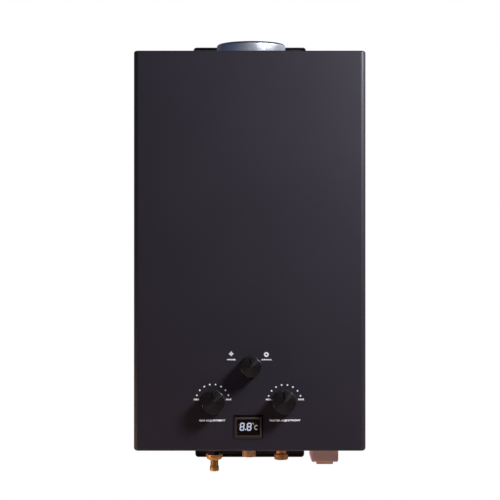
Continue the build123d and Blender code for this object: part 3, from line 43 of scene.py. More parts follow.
# ---- Studio: floor, lamps and camera -------------------------------------------------------------
# The heater hangs on its brackets, so a pale painted floor lies well below it. The key lamp is high
# on the right, a cool panel on the left, and warm lamps are low down by the fittings. The cards are
# dim panels for the flue collar to mirror.
def linear(colour):
    """An sRGB hex colour such as 7f7f7f as linear red, green and blue, with alpha 1."""
    channels = [int(colour[i:i + 2], 16) / 255 for i in (0, 2, 4)]
    return [c / 12.92 if c <= 0.04045 else ((c + 0.055) / 1.055) ** 2.4 for c in channels] + [1.0]


def add(tree, kind, inputs=None, **settings):
    """Adds a node to a tree, with its settings, and its inputs as values or as sockets to link."""
    made = tree.nodes.new(kind)
    for name, value in settings.items():
        setattr(made, name, value)
    for key, value in (inputs or {}).items():
        if isinstance(value, bpy.types.NodeSocket):
            tree.links.new(value, made.inputs[key])
        else:
            made.inputs[key].default_value = value
    return made


def place(name, shape):
    """Puts a mesh, a lamp, a camera or a line of lettering into the scene, at the origin."""
    made = bpy.data.objects.new(name, shape)
    scene.collection.objects.link(made)
    return made


def lamp(name, place_at, look_at, width, height, power, colour):
    """A soft rectangular lamp that faces a point."""
    light = bpy.data.lights.new(name, "AREA")
    light.shape = "RECTANGLE"
    light.size, light.size_y = width, height
    light.energy = power
    light.color = linear(colour)[:3]
    made = place(name, light)
    made.location = place_at
    made.rotation_euler = (Vector(look_at) - Vector(place_at)).to_track_quat("-Z", "Y").to_euler()


heater_middle = (0.0, -0.08, -0.3)
fittings = (0.0, -0.12, -0.6)
collar = (0.0, -0.08, 0.01)
lamp("key_lamp", (0.9, -0.705, 0.384), heater_middle, 0.3, 0.3, 22.6, "f5f8ff")
lamp("left_panel", (-1.9, -0.5, -0.2), heater_middle, 1.2, 1.8, 2.3, "b4c6ff")
lamp("left_side_lamp", (-1.05, -0.36, -1.0), fittings, 0.4, 0.3, 3.8, "ffcda8")
lamp("right_side_lamp", (1.05, -0.3, -1.0), fittings, 0.4, 0.3, 0.8, "ffcda8")
lamp("low_panel", (0.1, -0.95, -0.95), fittings, 1.4, 0.4, 0.3, "ff7048")
lamp("left_card", (-1.45, -1.87, 0.3), collar, 1.1, 0.25, 0.5, "c0d0ff")
lamp("front_card", (-0.16, -2.38, 0.3), collar, 0.7, 0.25, 0.7, "f3f6ff")
lamp("right_card", (1.05, -2.12, 0.32), collar, 0.5, 0.4, 0.6, "ffffff")
lamp("back_card", (1.31, 0.84, 0.21), collar, 0.8, 0.4, 0.9, "f4f4ff")

# The camera sees white all round. Mirrored and refracted rays see that white only straight behind
# the heater, and everything else gets a pale glow from behind.
studio = bpy.data.worlds.new("studio")
scene.world = studio
studio.use_nodes = True
sky = studio.node_tree
sky.nodes.clear()
rays = add(sky, "ShaderNodeLightPath")
direction = add(sky, "ShaderNodeTexCoord")
axes = add(sky, "ShaderNodeSeparateXYZ", {"Vector": direction.outputs["Generated"]})
behind = add(sky, "ShaderNodeMapRange", {
    "Value": axes.outputs["Y"], "From Min": 0.1, "From Max": 0.75, "To Min": 0.002, "To Max": 0.35,
})
ambient = add(sky, "ShaderNodeBackground", {
    "Color": linear("c6ccdc"), "Strength": behind.outputs[0],
})
backdrop = add(sky, "ShaderNodeBackground", {"Color": (1, 1, 1, 1), "Strength": 1.0})
straight_behind = add(sky, "ShaderNodeMapRange", {
    "Value": axes.outputs["Y"], "From Min": 0.91, "From Max": 0.99,
})
bounced = add(sky, "ShaderNodeMath", {
    0: rays.outputs["Is Glossy Ray"], 1: rays.outputs["Is Transmission Ray"],
}, operation="MAXIMUM")
mirrored = add(sky, "ShaderNodeMath", {
    0: bounced.outputs[0], 1: straight_behind.outputs[0],
}, operation="MULTIPLY")
white = add(sky, "ShaderNodeMath", {
    0: rays.outputs["Is Camera Ray"], 1: mirrored.outputs[0],
}, operation="MAXIMUM")
mixed = add(sky, "ShaderNodeMixShader", {
    0: white.outputs[0], 1: ambient.outputs[0], 2: backdrop.outputs[0],
})
add(sky, "ShaderNodeOutputWorld", {"Surface": mixed.outputs[0]})

# The floor's own light brings its paint close to white for the camera, and leaves the shadow in it.
floor_level, floor_reach, floor_glow = -1.42, 2.2, 0.84
floor_paint = bpy.data.materials.new("pale_floor_paint")
floor_paint.use_nodes = True
tree = floor_paint.node_tree
tree.nodes.clear()
rays = add(tree, "ShaderNodeLightPath")
paint = add(tree, "ShaderNodeBsdfDiffuse", {"Color": linear("e8e8e8")})
seen = add(tree, "ShaderNodeMath", {
    0: rays.outputs["Is Camera Ray"], 1: floor_glow,
}, operation="MULTIPLY")
glow = add(tree, "ShaderNodeEmission", {"Color": (1, 1, 1, 1), "Strength": seen.outputs[0]})
both = add(tree, "ShaderNodeAddShader", {0: paint.outputs[0], 1: glow.outputs[0]})
# Its underside is clear, so that the heater can be looked at from below.
side = add(tree, "ShaderNodeNewGeometry")
clear = add(tree, "ShaderNodeBsdfTransparent")
one_sided = add(tree, "ShaderNodeMixShader", {
    0: side.outputs["Backfacing"], 1: both.outputs[0], 2: clear.outputs[0],
})
add(tree, "ShaderNodeOutputMaterial", {"Surface": one_sided.outputs[0]})

sheet = bmesh.new()
bmesh.ops.create_grid(
    sheet, x_segments=1, y_segments=1, size=floor_reach,
    matrix=Matrix.Translation((0, 0, floor_level)),
)
floor_mesh = bpy.data.meshes.new("floor")
sheet.to_mesh(floor_mesh)
sheet.free()
floor_mesh.materials.append(floor_paint)
place("floor", floor_mesh)

camera = place("camera", bpy.data.cameras.new("camera"))
camera.data.lens = 112.5
camera.data.sensor_width = 36.0
camera.location = (0.0004, -2.46, -0.3059)
camera.rotation_euler = (math.pi / 2, 0, 0)
scene.camera = camera


# ---- Casing cover --------------------------------------------------------------------------------
# A tray folded from 1 mm steel sheet and powder coated in a matt charcoal with a violet cast. The
# coat is baked on, so its skin has a faint orange peel and a soft, broad sheen.
def start_material(name):
    """A new material and its emptied node tree."""
    made = bpy.data.materials.new(name)
    made.use_nodes = True
    made.node_tree.nodes.clear()
    return made, made.node_tree


def give(material, *nodes):
    """Gives a material to CAD nodes."""
    for name in nodes:
        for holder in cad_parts[name].material_slots:
            holder.material = material


def soft_edges(angle):
    """A Geometry Nodes tree that welds a surface and smooths it, except over sharper edges."""
    group = bpy.data.node_groups.new("soft_edges", "GeometryNodeTree")
    group.interface.new_socket("Geometry", in_out="INPUT", socket_type="NodeSocketGeometry")
    group.interface.new_socket("Geometry", in_out="OUTPUT", socket_type="NodeSocketGeometry")
    start = add(group, "NodeGroupInput")
    weld = add(group, "GeometryNodeMergeByDistance", {
        "Geometry": start.outputs[0], "Distance": 1e-6,
    })
    turn = add(group, "GeometryNodeInputMeshEdgeAngle")
    sharp = add(group, "FunctionNodeCompare", {
        0: turn.outputs[0], 1: angle,
    }, operation="GREATER_THAN")
    faces = add(group, "GeometryNodeSetShadeSmooth", {
        "Geometry": weld.outputs[0], "Shade Smooth": True,
    }, domain="FACE")
    edges = add(group, "GeometryNodeSetShadeSmooth", {
        "Geometry": faces.outputs[0], "Selection": sharp.outputs[0], "Shade Smooth": False,
    }, domain="EDGE")
    add(group, "NodeGroupOutput", {0: edges.outputs[0]})
    return group


sharpest_smooth_edge = math.radians(32)
rolled_edges = soft_edges(sharpest_smooth_edge)
for cad_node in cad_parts.values():
    cad_node.modifiers.new("soft_edges", "NODES").node_group = rolled_edges

powder_coat, tree = start_material("matt_charcoal_powder_coat")
where = add(tree, "ShaderNodeTexCoord").outputs["Object"]
peel = add(tree, "ShaderNodeTexNoise", {"Vector": where, "Scale": 1100.0, "Detail": 2.0})
drift = add(tree, "ShaderNodeTexNoise", {"Vector": where, "Scale": 9.0, "Detail": 3.0})
# A mix of colours takes them at inputs 6 and 7 and gives the blend at output 2.
tint = add(tree, "ShaderNodeMix", {
    "Factor": drift.outputs[0], 6: linear("2c2831"), 7: linear("312c36"),
}, data_type="RGBA")
gloss = add(tree, "ShaderNodeMapRange", {"Value": drift.outputs[0], "To Min": 0.44, "To Max": 0.52})
bump = add(tree, "ShaderNodeBump", {
    "Strength": 0.5, "Distance": 0.00003, "Height": peel.outputs[0],
})
coat = add(tree, "ShaderNodeBsdfPrincipled", {
    "Base Color": tint.outputs[2], "Roughness": gloss.outputs[0], "Normal": bump.outputs[0],
})
add(tree, "ShaderNodeOutputMaterial", {"Surface": coat.outputs[0]})
give(powder_coat, "front_cover")


# ---- Back panel and bottom plate -----------------------------------------------------------------
# Hot-dip galvanised steel sheet, left bare. The zinc froze into flat crystals some 8 mm across, the
# spangle, which reflect the light in slightly different directions.
spangle, tree = start_material("galvanised_steel_sheet")
where = add(tree, "ShaderNodeTexCoord").outputs["Object"]
crystals = add(tree, "ShaderNodeTexVoronoi", {"Vector": where, "Scale": 120.0})
shade = add(tree, "ShaderNodeMix", {
    "Factor": crystals.outputs["Color"], 6: linear("8f9396"), 7: linear("b3b6b8"),
}, data_type="RGBA")
gloss = add(tree, "ShaderNodeMapRange", {
    "Value": crystals.outputs["Color"], "To Min": 0.34, "To Max": 0.52,
})
metal = add(tree, "ShaderNodeBsdfPrincipled", {
    "Base Color": shade.outputs[2], "Roughness": gloss.outputs[0], "Metallic": 0.9,
})
add(tree, "ShaderNodeOutputMaterial", {"Surface": metal.outputs[0]})
give(spangle, "back_panel", "bottom_plate", "draught_hood", "support_channels", "burner_tray",
     "valve_bridge")


# ---- Hanging brackets ----------------------------------------------------------------------------
# 2 mm steel plates with a folded rim, riveted behind the back panel. They have a plain black powder
# coat with the same faint orange peel as the cover's.
black_coat, tree = start_material("black_powder_coat")
where = add(tree, "ShaderNodeTexCoord").outputs["Object"]
peel = add(tree, "ShaderNodeTexNoise", {"Vector": where, "Scale": 1100.0, "Detail": 2.0})
shade = add(tree, "ShaderNodeMix", {
    "Factor": peel.outputs[0], 6: linear("1f1b1f"), 7: linear("262127"),
}, data_type="RGBA")
bump = add(tree, "ShaderNodeBump", {
    "Strength": 0.5, "Distance": 0.00003, "Height": peel.outputs[0],
})
coat = add(tree, "ShaderNodeBsdfPrincipled", {
    "Base Color": shade.outputs[2], "Roughness": 0.5, "Normal": bump.outputs[0],
})
add(tree, "ShaderNodeOutputMaterial", {"Surface": coat.outputs[0]})
give(black_coat, "top_bracket", "bottom_bracket")


# ---- Screws, rivets and lock nuts ----------------------------------------------------------------
# Cold-headed steel with a bright zinc plating, a little uneven in its yellow-grey passivation. The
# lock nuts have a black chromate over the zinc, which the spanner has rubbed through in specks.
zinc, tree = start_material("bright_zinc_plating")
where = add(tree, "ShaderNodeTexCoord").outputs["Object"]
passivation = add(tree, "ShaderNodeTexNoise", {"Vector": where, "Scale": 180.0, "Detail": 4.0})
shade = add(tree, "ShaderNodeMix", {
    "Factor": passivation.outputs[0], 6: linear("a9a6a0"), 7: linear("cdc9bf"),
}, data_type="RGBA")
metal = add(tree, "ShaderNodeBsdfPrincipled", {
    "Base Color": shade.outputs[2], "Roughness": 0.32, "Metallic": 1.0,
})
add(tree, "ShaderNodeOutputMaterial", {"Surface": metal.outputs[0]})
give(zinc, "bracket_rivets", "cover_screws", "hood_screws", "water_valve_screws", "gas_solenoid",
     "temperature_sensors", "battery_contacts")

chromate, tree = start_material("black_chromate_on_zinc")
where = add(tree, "ShaderNodeTexCoord").outputs["Object"]
worn = add(tree, "ShaderNodeTexNoise", {"Vector": where, "Scale": 420.0, "Detail": 4.0})
rubbed = add(tree, "ShaderNodeMapRange", {
    "Value": worn.outputs[0], "From Min": 0.58, "From Max": 0.68,
})
shade = add(tree, "ShaderNodeMix", {
    "Factor": rubbed.outputs[0], 6: linear("1f1e22"), 7: linear("a9a6a0"),
}, data_type="RGBA")
metal = add(tree, "ShaderNodeBsdfPrincipled", {
    "Base Color": shade.outputs[2], "Roughness": 0.42, "Metallic": 1.0,
})
add(tree, "ShaderNodeOutputMaterial", {"Surface": metal.outputs[0]})
give(chromate, "lock_nuts")


# ---- Flue collar ---------------------------------------------------------------------------------
# A ring spun from aluminium sheet with its rim rolled over. The spinning tool left fine lines round
# it, 0.3 mm apart. Pipes pushed over it have worn its skin up and down, which spreads a reflection
# sideways.
spun, tree = start_material("spun_aluminium")
where = add(tree, "ShaderNodeTexCoord").outputs["Object"]
flat = add(tree, "ShaderNodeMapping", {"Vector": where, "Scale": (3.0, 3.0, 420.0)})
lines = add(tree, "ShaderNodeTexNoise", {"Vector": flat.outputs[0], "Scale": 8.0, "Detail": 3.0})
shade = add(tree, "ShaderNodeMix", {
    "Factor": lines.outputs[0], 6: linear("989ba4"), 7: linear("b8bac2"),
}, data_type="RGBA")
bump = add(tree, "ShaderNodeBump", {
    "Strength": 0.01, "Distance": 0.0001, "Height": lines.outputs[0],
})
facing = add(tree, "ShaderNodeNewGeometry").outputs["Normal"]
around = add(tree, "ShaderNodeVectorMath", {0: facing, 1: (0, 0, 1)}, operation="CROSS_PRODUCT")
metal = add(tree, "ShaderNodeBsdfPrincipled", {
    "Base Color": shade.outputs[2], "Roughness": 0.3, "Metallic": 1.0, "Normal": bump.outputs[0],
    "Anisotropic": 0.9, "Tangent": around.outputs[0],
})
add(tree, "ShaderNodeOutputMaterial", {"Surface": metal.outputs[0]})
give(spun, "flue_collar")


# ---- Heat exchanger ------------------------------------------------------------------------------
# Copper sheet, fins and tube, brazed together and carried by two channels on the back panel. The
# flame's heat has browned the copper in patches, which are also the duller ones.
copper, tree = start_material("heat_browned_copper")
where = add(tree, "ShaderNodeTexCoord").outputs["Object"]
stain = add(tree, "ShaderNodeTexNoise", {"Vector": where, "Scale": 28.0, "Detail": 5.0})
shade = add(tree, "ShaderNodeMix", {
    "Factor": stain.outputs[0], 6: linear("8a4a30"), 7: linear("cd8a63"),
}, data_type="RGBA")
gloss = add(tree, "ShaderNodeMapRange", {"Value": stain.outputs[0], "To Min": 0.5, "To Max": 0.24})
metal = add(tree, "ShaderNodeBsdfPrincipled", {
    "Base Color": shade.outputs[2], "Roughness": gloss.outputs[0], "Metallic": 1.0,
})
add(tree, "ShaderNodeOutputMaterial", {"Surface": metal.outputs[0]})
give(copper, "exchanger_shell", "exchanger_fins", "fin_tube", "coil_pipe", "water_pipes")


# ---- Burner --------------------------------------------------------------------------------------
# Pressed stainless bars, with a square steel manifold held by its lugs across their front. The
# flame has left a violet-grey temper colour near the ports. The valves' small steel parts are
# finished like the bars.
tempered, tree = start_material("tempered_stainless_steel")
where = add(tree, "ShaderNodeTexCoord").outputs["Object"]
height = add(tree, "ShaderNodeSeparateXYZ", {"Vector": where}).outputs["Z"]
cool_below, hot_above = -0.385, -0.36
heat = add(tree, "ShaderNodeMapRange", {
    "Value": height, "From Min": cool_below, "From Max": hot_above,
})
shade = add(tree, "ShaderNodeMix", {
    "Factor": heat.outputs[0], 6: linear("9b9893"), 7: linear("6d6470"),
}, data_type="RGBA")
metal = add(tree, "ShaderNodeBsdfPrincipled", {
    "Base Color": shade.outputs[2], "Roughness": 0.36, "Metallic": 1.0,
})
add(tree, "ShaderNodeOutputMaterial", {"Surface": metal.outputs[0]})
give(tempered, "burner_bars", "gas_manifold", "electrode_rods", "gas_disc_spring", "push_rod",
     "microswitch_lever")


# ---- Gas valve -----------------------------------------------------------------------------------
# A die-cast aluminium block with the plug cock in front and the disc chamber across it, and drawn
# aluminium pipes. Their skin is matt and slightly grainy.
cast, tree = start_material("die_cast_aluminium")
where = add(tree, "ShaderNodeTexCoord").outputs["Object"]
grain = add(tree, "ShaderNodeTexNoise", {"Vector": where, "Scale": 700.0, "Detail": 3.0})
bump = add(tree, "ShaderNodeBump", {
    "Strength": 0.5, "Distance": 0.0001, "Height": grain.outputs[0],
})
metal = add(tree, "ShaderNodeBsdfPrincipled", {
    "Base Color": linear("a3a3a2"), "Roughness": 0.55, "Metallic": 0.85, "Normal": bump.outputs[0],
})
add(tree, "ShaderNodeOutputMaterial", {"Surface": metal.outputs[0]})
give(cast, "gas_valve_body", "gas_pipes")


# ---- Brass fittings and valves -------------------------------------------------------------------
# Free-cutting brass, turned and milled. Turning leaves rings 0.3 mm apart, and handling dulls it in
# patches to a deeper orange. The pipe ends have a G 1/2 thread of 1.814 mm pitch.
wave_scale = 0.314  # a wave texture of this scale repeats once a unit
turning_pitch = 0.000314
thread_pitch, thread_depth, thread_start = 0.001814, 0.0006, 0.0006


def turned_brass(name, bright, dull, thread=None):
    """Brass of two shades with turning rings along Z, and a thread between two heights."""
    made, tree = start_material(name)
    where = add(tree, "ShaderNodeTexCoord").outputs["Object"]
    patch = add(tree, "ShaderNodeTexNoise", {"Vector": where, "Scale": 140.0, "Detail": 4.0})
    shade = add(tree, "ShaderNodeMix", {
        "Factor": patch.outputs[0], 6: linear(dull), 7: linear(bright),
    }, data_type="RGBA")
    rings = add(tree, "ShaderNodeTexWave", {
        "Vector": where, "Scale": wave_scale / turning_pitch, "Distortion": 0.4,
    }, bands_direction="Z")
    bump = add(tree, "ShaderNodeBump", {
        "Strength": 0.2, "Distance": 0.00003, "Height": rings.outputs[1],
    })
    if thread:
        low, high = thread
        height = add(tree, "ShaderNodeSeparateXYZ", {"Vector": where}).outputs["Z"]
        turns = add(tree, "ShaderNodeTexWave", {
            "Vector": where, "Scale": wave_scale / thread_pitch,
        }, bands_direction="Z", wave_profile="TRI")
        above = add(tree, "ShaderNodeMath", {0: height, 1: low}, operation="GREATER_THAN")
        below = add(tree, "ShaderNodeMath", {0: height, 1: high}, operation="LESS_THAN")
        cut = add(tree, "ShaderNodeMath", {
            0: above.outputs[0], 1: below.outputs[0],
        }, operation="MULTIPLY")
        depth = add(tree, "ShaderNodeMath", {
            0: turns.outputs[1], 1: cut.outputs[0],
        }, operation="MULTIPLY")
        bump = add(tree, "ShaderNodeBump", {
            "Strength": 0.6, "Distance": thread_depth, "Height": depth.outputs[0],
            "Normal": bump.outputs[0],
        })
    metal = add(tree, "ShaderNodeBsdfPrincipled", {
        "Base Color": shade.outputs[2], "Roughness": 0.58, "Metallic": 1.0,
        "Normal": bump.outputs[0],
    })
    add(tree, "ShaderNodeOutputMaterial", {"Surface": metal.outputs[0]})
    return made


give(turned_brass("turned_brass", "f5c27c", "efb76e"),
     "gas_inlet_fitting", "gas_union_nut", "gas_hose_nipple", "gas_valve_cap", "gas_nozzles",
     "gas_stem", "water_valve_body", "water_valve_cover", "water_spindle", "selector_valve",
     "selector_stem")
for fitting, bright, dull, thread_length in (
    ("hot_outlet_fitting", "deb488", "d4a87c", 0.009),
    ("cold_inlet_fitting", "d6a472", "cc9864", 0.0085),
):
    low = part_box(fitting)[0][2]
    ends = (low + thread_start, low + thread_length)
    give(turned_brass("threaded_brass_" + fitting, bright, dull, ends), fitting)


# ---- Knobs ---------------------------------------------------------------------------------------
# Moulded in black ABS. The mould's face was turned, so each knob's shallow cone carries fine rings
# that draw the light out into wedges, drawn 0.5 mm apart, coarser than the real ones. The pointer
# groove and the skirt are matt and painted near-black, a painted shade for the shadow in the
# groove and round the knob's rim.
groove_reach, skirt_reach = 0.84, 0.96  # shares of the knob's radius
cone_height, ring_pitch, highlight_stretch = 0.0017, 0.0005, 0.75
for knob in ("gas_knob", "water_knob", "selector_knob"):
    low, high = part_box(knob)
    knob_radius = (high[0] - low[0]) / 2
    to_axis = [-(low[i] + high[i]) / 2 for i in range(3)]
    plastic, tree = start_material("turned_black_abs_" + knob)
    where = add(tree, "ShaderNodeTexCoord").outputs["Object"]
    centred = add(tree, "ShaderNodeMapping", {"Vector": where, "Location": to_axis})
    rings = add(tree, "ShaderNodeTexWave", {
        "Vector": centred.outputs[0], "Scale": wave_scale / ring_pitch,
    }, wave_type="RINGS", rings_direction="Y")
    bump = add(tree, "ShaderNodeBump", {
        "Strength": 0.3, "Distance": 0.00003, "Height": rings.outputs[1],
    })
    handling = add(tree, "ShaderNodeTexNoise", {"Vector": where, "Scale": 70.0, "Detail": 3.0})
    shade = add(tree, "ShaderNodeMix", {
        "Factor": handling.outputs[0], 6: linear("1c1a1a"), 7: linear("242122"),
    }, data_type="RGBA")
    across = add(tree, "ShaderNodeVectorMath", {
        0: centred.outputs[0], 1: (1, 0, 1),
    }, operation="MULTIPLY")
    radius = add(tree, "ShaderNodeVectorMath", {0: across.outputs[0]}, operation="LENGTH")
    inside = add(tree, "ShaderNodeMath", {
        0: radius.outputs["Value"], 1: groove_reach * knob_radius,
    }, operation="LESS_THAN")
    depth = add(tree, "ShaderNodeSeparateXYZ", {"Vector": where}).outputs["Y"]
    sunk = add(tree, "ShaderNodeMath", {
        0: depth, 1: low[1] + cone_height,
    }, operation="GREATER_THAN")
    groove = add(tree, "ShaderNodeMath", {
        0: inside.outputs[0], 1: sunk.outputs[0],
    }, operation="MULTIPLY")
    skirt = add(tree, "ShaderNodeMath", {
        0: radius.outputs["Value"], 1: skirt_reach * knob_radius,
    }, operation="GREATER_THAN")
    matt_and_painted_shade = add(tree, "ShaderNodeMath", {
        0: groove.outputs[0], 1: skirt.outputs[0],
    }, operation="MAXIMUM")
    # Painted shade: the pointer groove and the skirt are coloured near-black.
    shade = add(tree, "ShaderNodeMix", {
        "Factor": matt_and_painted_shade.outputs[0], 6: shade.outputs[2], 7: linear("050505"),
    }, data_type="RGBA")
    turned = add(tree, "ShaderNodeMapRange", {
        "Value": inside.outputs[0], "To Min": 0.25, "To Max": 0.33,
    })
    gloss = add(tree, "ShaderNodeMapRange", {
        "Value": matt_and_painted_shade.outputs[0], "To Min": turned.outputs[0], "To Max": 0.8,
    })
    stretch = add(tree, "ShaderNodeMath", {
        0: inside.outputs[0], 1: highlight_stretch,
    }, operation="MULTIPLY")
    coat = add(tree, "ShaderNodeBsdfPrincipled", {
        "Base Color": shade.outputs[2], "Roughness": gloss.outputs[0],
        "Anisotropic": stretch.outputs[0], "Tangent": across.outputs[0],
        "Normal": bump.outputs[0],
    })
    add(tree, "ShaderNodeOutputMaterial", {"Surface": coat.outputs[0]})
    give(plastic, knob)


# ---- Valve seals and switch housings -------------------------------------------------------------
# The seals are black nitrile rubber with a dusty bloom. The switch and the control box are black
# nylon mouldings with a fine spark-eroded texture.
nitrile, tree = start_material("black_nitrile_rubber")
where = add(tree, "ShaderNodeTexCoord").outputs["Object"]
bloom = add(tree, "ShaderNodeTexNoise", {"Vector": where, "Scale": 60.0, "Detail": 4.0})
shade = add(tree, "ShaderNodeMix", {
    "Factor": bloom.outputs[0], 6: linear("1b1b1b"), 7: linear("353433"),
}, data_type="RGBA")
coat = add(tree, "ShaderNodeBsdfPrincipled", {"Base Color": shade.outputs[2], "Roughness": 0.75})
add(tree, "ShaderNodeOutputMaterial", {"Surface": coat.outputs[0]})
give(nitrile, "gas_disc", "water_diaphragm")

nylon, tree = start_material("spark_textured_black_nylon")
where = add(tree, "ShaderNodeTexCoord").outputs["Object"]
erosion = add(tree, "ShaderNodeTexNoise", {"Vector": where, "Scale": 900.0, "Detail": 2.0})
bump = add(tree, "ShaderNodeBump", {
    "Strength": 0.5, "Distance": 0.00008, "Height": erosion.outputs[0],
})
coat = add(tree, "ShaderNodeBsdfPrincipled", {
    "Base Color": linear("262628"), "Roughness": 0.58, "Normal": bump.outputs[0],
})
add(tree, "ShaderNodeOutputMaterial", {"Surface": coat.outputs[0]})
give(nylon, "microswitch", "igniter_box")


# ---- Ignition ------------------------------------------------------------------------------------
# Sleeves of pressed white ceramic carry the electrodes through the chamber's front, and their glaze
# gives a sharp highlight. The leads have a red silicone rubber sheath that dust has dulled.
glaze, tree = start_material("white_glazed_ceramic")
where = add(tree, "ShaderNodeTexCoord").outputs["Object"]
body = add(tree, "ShaderNodeTexNoise", {"Vector": where, "Scale": 300.0})
shade = add(tree, "ShaderNodeMix", {
    "Factor": body.outputs[0], 6: linear("e6e2d8"), 7: linear("f4f1ea"),
}, data_type="RGBA")
coat = add(tree, "ShaderNodeBsdfPrincipled", {"Base Color": shade.outputs[2], "Roughness": 0.15})
add(tree, "ShaderNodeOutputMaterial", {"Surface": coat.outputs[0]})
give(glaze, "electrode_insulators")

silicone, tree = start_material("red_silicone_rubber")
where = add(tree, "ShaderNodeTexCoord").outputs["Object"]
dust = add(tree, "ShaderNodeTexNoise", {"Vector": where, "Scale": 90.0, "Detail": 3.0})
shade = add(tree, "ShaderNodeMix", {
    "Factor": dust.outputs[0], 6: linear("8e2418"), 7: linear("a5352a"),
}, data_type="RGBA")
coat = add(tree, "ShaderNodeBsdfPrincipled", {"Base Color": shade.outputs[2], "Roughness": 0.5})
add(tree, "ShaderNodeOutputMaterial", {"Surface": coat.outputs[0]})
give(silicone, "leads")


# ---- Temperature display -------------------------------------------------------------------------
# A frame moulded in black plastic and pressed through the cover, with glossy slopes and a matt
# lip. The lip is painted a lighter brown and the slopes near-black, a painted light and a
# painted shade on the one moulding. Behind its smoked acrylic window a black block carries bars
# that light up, and the block glows faintly in its own colour, a painted glow that stands in for
# light falling on it.
block_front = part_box("display_board")[0][1]
lip_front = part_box("display_bezel")[0][1]
lip_depth, lip_blend = 0.0007, 0.0002
bezel, tree = start_material("black_bezel_plastic")
where = add(tree, "ShaderNodeTexCoord").outputs["Object"]
depth = add(tree, "ShaderNodeSeparateXYZ", {"Vector": where}).outputs["Y"]
dark_painted_slope = add(tree, "ShaderNodeMapRange", {
    "Value": depth, "From Min": lip_front + lip_depth,
    "From Max": lip_front + lip_depth + lip_blend,
})
# Painted light and shade: the lip is a lighter brown and the slopes near-black, on one black
# moulding.
shade = add(tree, "ShaderNodeMix", {
    "Factor": dark_painted_slope.outputs[0], 6: linear("493b3c"), 7: linear("0d0b0b"),
}, data_type="RGBA")
gloss = add(tree, "ShaderNodeMapRange", {"Value": dark_painted_slope.outputs[0], "To Min": 0.45, "To Max": 0.2})
erosion = add(tree, "ShaderNodeTexNoise", {"Vector": where, "Scale": 1200.0, "Detail": 2.0})
bump = add(tree, "ShaderNodeBump", {
    "Strength": 0.3, "Distance": 0.00002, "Height": erosion.outputs[0],
})
coat = add(tree, "ShaderNodeBsdfPrincipled", {
    "Base Color": shade.outputs[2], "Roughness": gloss.outputs[0], "Normal": bump.outputs[0],
})
add(tree, "ShaderNodeOutputMaterial", {"Surface": coat.outputs[0]})
give(bezel, "display_bezel")

smoked, tree = start_material("smoked_acrylic_window")
where = add(tree, "ShaderNodeTexCoord").outputs["Object"]
haze = add(tree, "ShaderNodeTexNoise", {"Vector": where, "Scale": 60.0})
gloss = add(tree, "ShaderNodeMapRange", {"Value": haze.outputs[0], "To Min": 0.02, "To Max": 0.06})
coat = add(tree, "ShaderNodeBsdfPrincipled", {
    "Base Color": linear("b9b4b3"), "Roughness": gloss.outputs[0],
    "Transmission Weight": 1.0, "IOR": 1.49,
})
add(tree, "ShaderNodeOutputMaterial", {"Surface": coat.outputs[0]})
give(smoked, "display_window")

display_block, tree = start_material("black_display_block")
where = add(tree, "ShaderNodeTexCoord").outputs["Object"]
weave = add(tree, "ShaderNodeTexNoise", {"Vector": where, "Scale": 500.0})
shade = add(tree, "ShaderNodeMix", {
    "Factor": weave.outputs[0], 6: linear("40342f"), 7: linear("4b3e38"),
}, data_type="RGBA")
# Painted glow: the block emits a little of its own colour, standing in for light falling on it.
coat = add(tree, "ShaderNodeBsdfPrincipled", {
    "Base Color": shade.outputs[2], "Roughness": 0.5,
    "Emission Color": shade.outputs[2], "Emission Strength": 0.12,
})
add(tree, "ShaderNodeOutputMaterial", {"Surface": coat.outputs[0]})
give(display_block, "display_board")


def lit_bars(name, edge, core, strength):
    """Diffused light from behind a bar, of two shades."""
    made, tree = start_material(name)
    where = add(tree, "ShaderNodeTexCoord").outputs["Object"]
    grain = add(tree, "ShaderNodeTexNoise", {"Vector": where, "Scale": 400.0})
    shade = add(tree, "ShaderNodeMix", {
        "Factor": grain.outputs[0], 6: linear(edge), 7: linear(core),
    }, data_type="RGBA")
    light = add(tree, "ShaderNodeEmission", {"Color": shade.outputs[2], "Strength": strength})
    add(tree, "ShaderNodeOutputMaterial", {"Surface": light.outputs[0]})
    return made


def slab(surface, outline, y_front, thickness):
    """A flat plate in a bmesh: an outline of (x, z) points, from its front face back along Y."""
    front = [surface.verts.new((x, y_front, z)) for x, z in outline]
    back = [surface.verts.new((x, y_front + thickness, z)) for x, z in outline]
    surface.faces.new(front)
    surface.faces.new(back[::-1])
    for index in range(len(front)):
        after = (index + 1) % len(front)
        surface.faces.new((front[index], back[index], back[after], front[after]))


def as_piece(name, surface, material):
    """A bmesh as a finished piece that is fixed to the heater."""
    bmesh.ops.recalc_face_normals(surface, faces=surface.faces)
    mesh = bpy.data.meshes.new(name)
    surface.to_mesh(mesh)
    surface.free()
    mesh.materials.append(material)
    # Faces that a Geometry Nodes tree made can point at a second slot, and here there is only one.
    mesh.polygons.foreach_set("material_index", [0] * len(mesh.polygons))
    piece = place(name, mesh)
    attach(piece, "heater")


def arc(x, z, radius, start, stop, steps):
    """Points on an arc, its angles in degrees from +X towards +Z."""
    angles = [math.radians(start + (stop - start) * step / steps) for step in range(steps + 1)]
    return [(x + radius * math.cos(angle), z + radius * math.sin(angle)) for angle in angles]


casing_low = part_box("front_cover")[0][2]
bar_thickness = 0.0002
bar_split = 0.00006  # half the dark line between two bars
digit_width, digit_height, digit_bar, digit_bend, digit_lean = 0.0070, 0.0118, 0.0018, 0.0024, 0.07
digit_z, left_digit_x, right_digit_x = casing_low + 0.0359, -0.01115, -0.00085
point_x, point_z, point_radius = -0.0062, casing_low + 0.0317, 0.00095


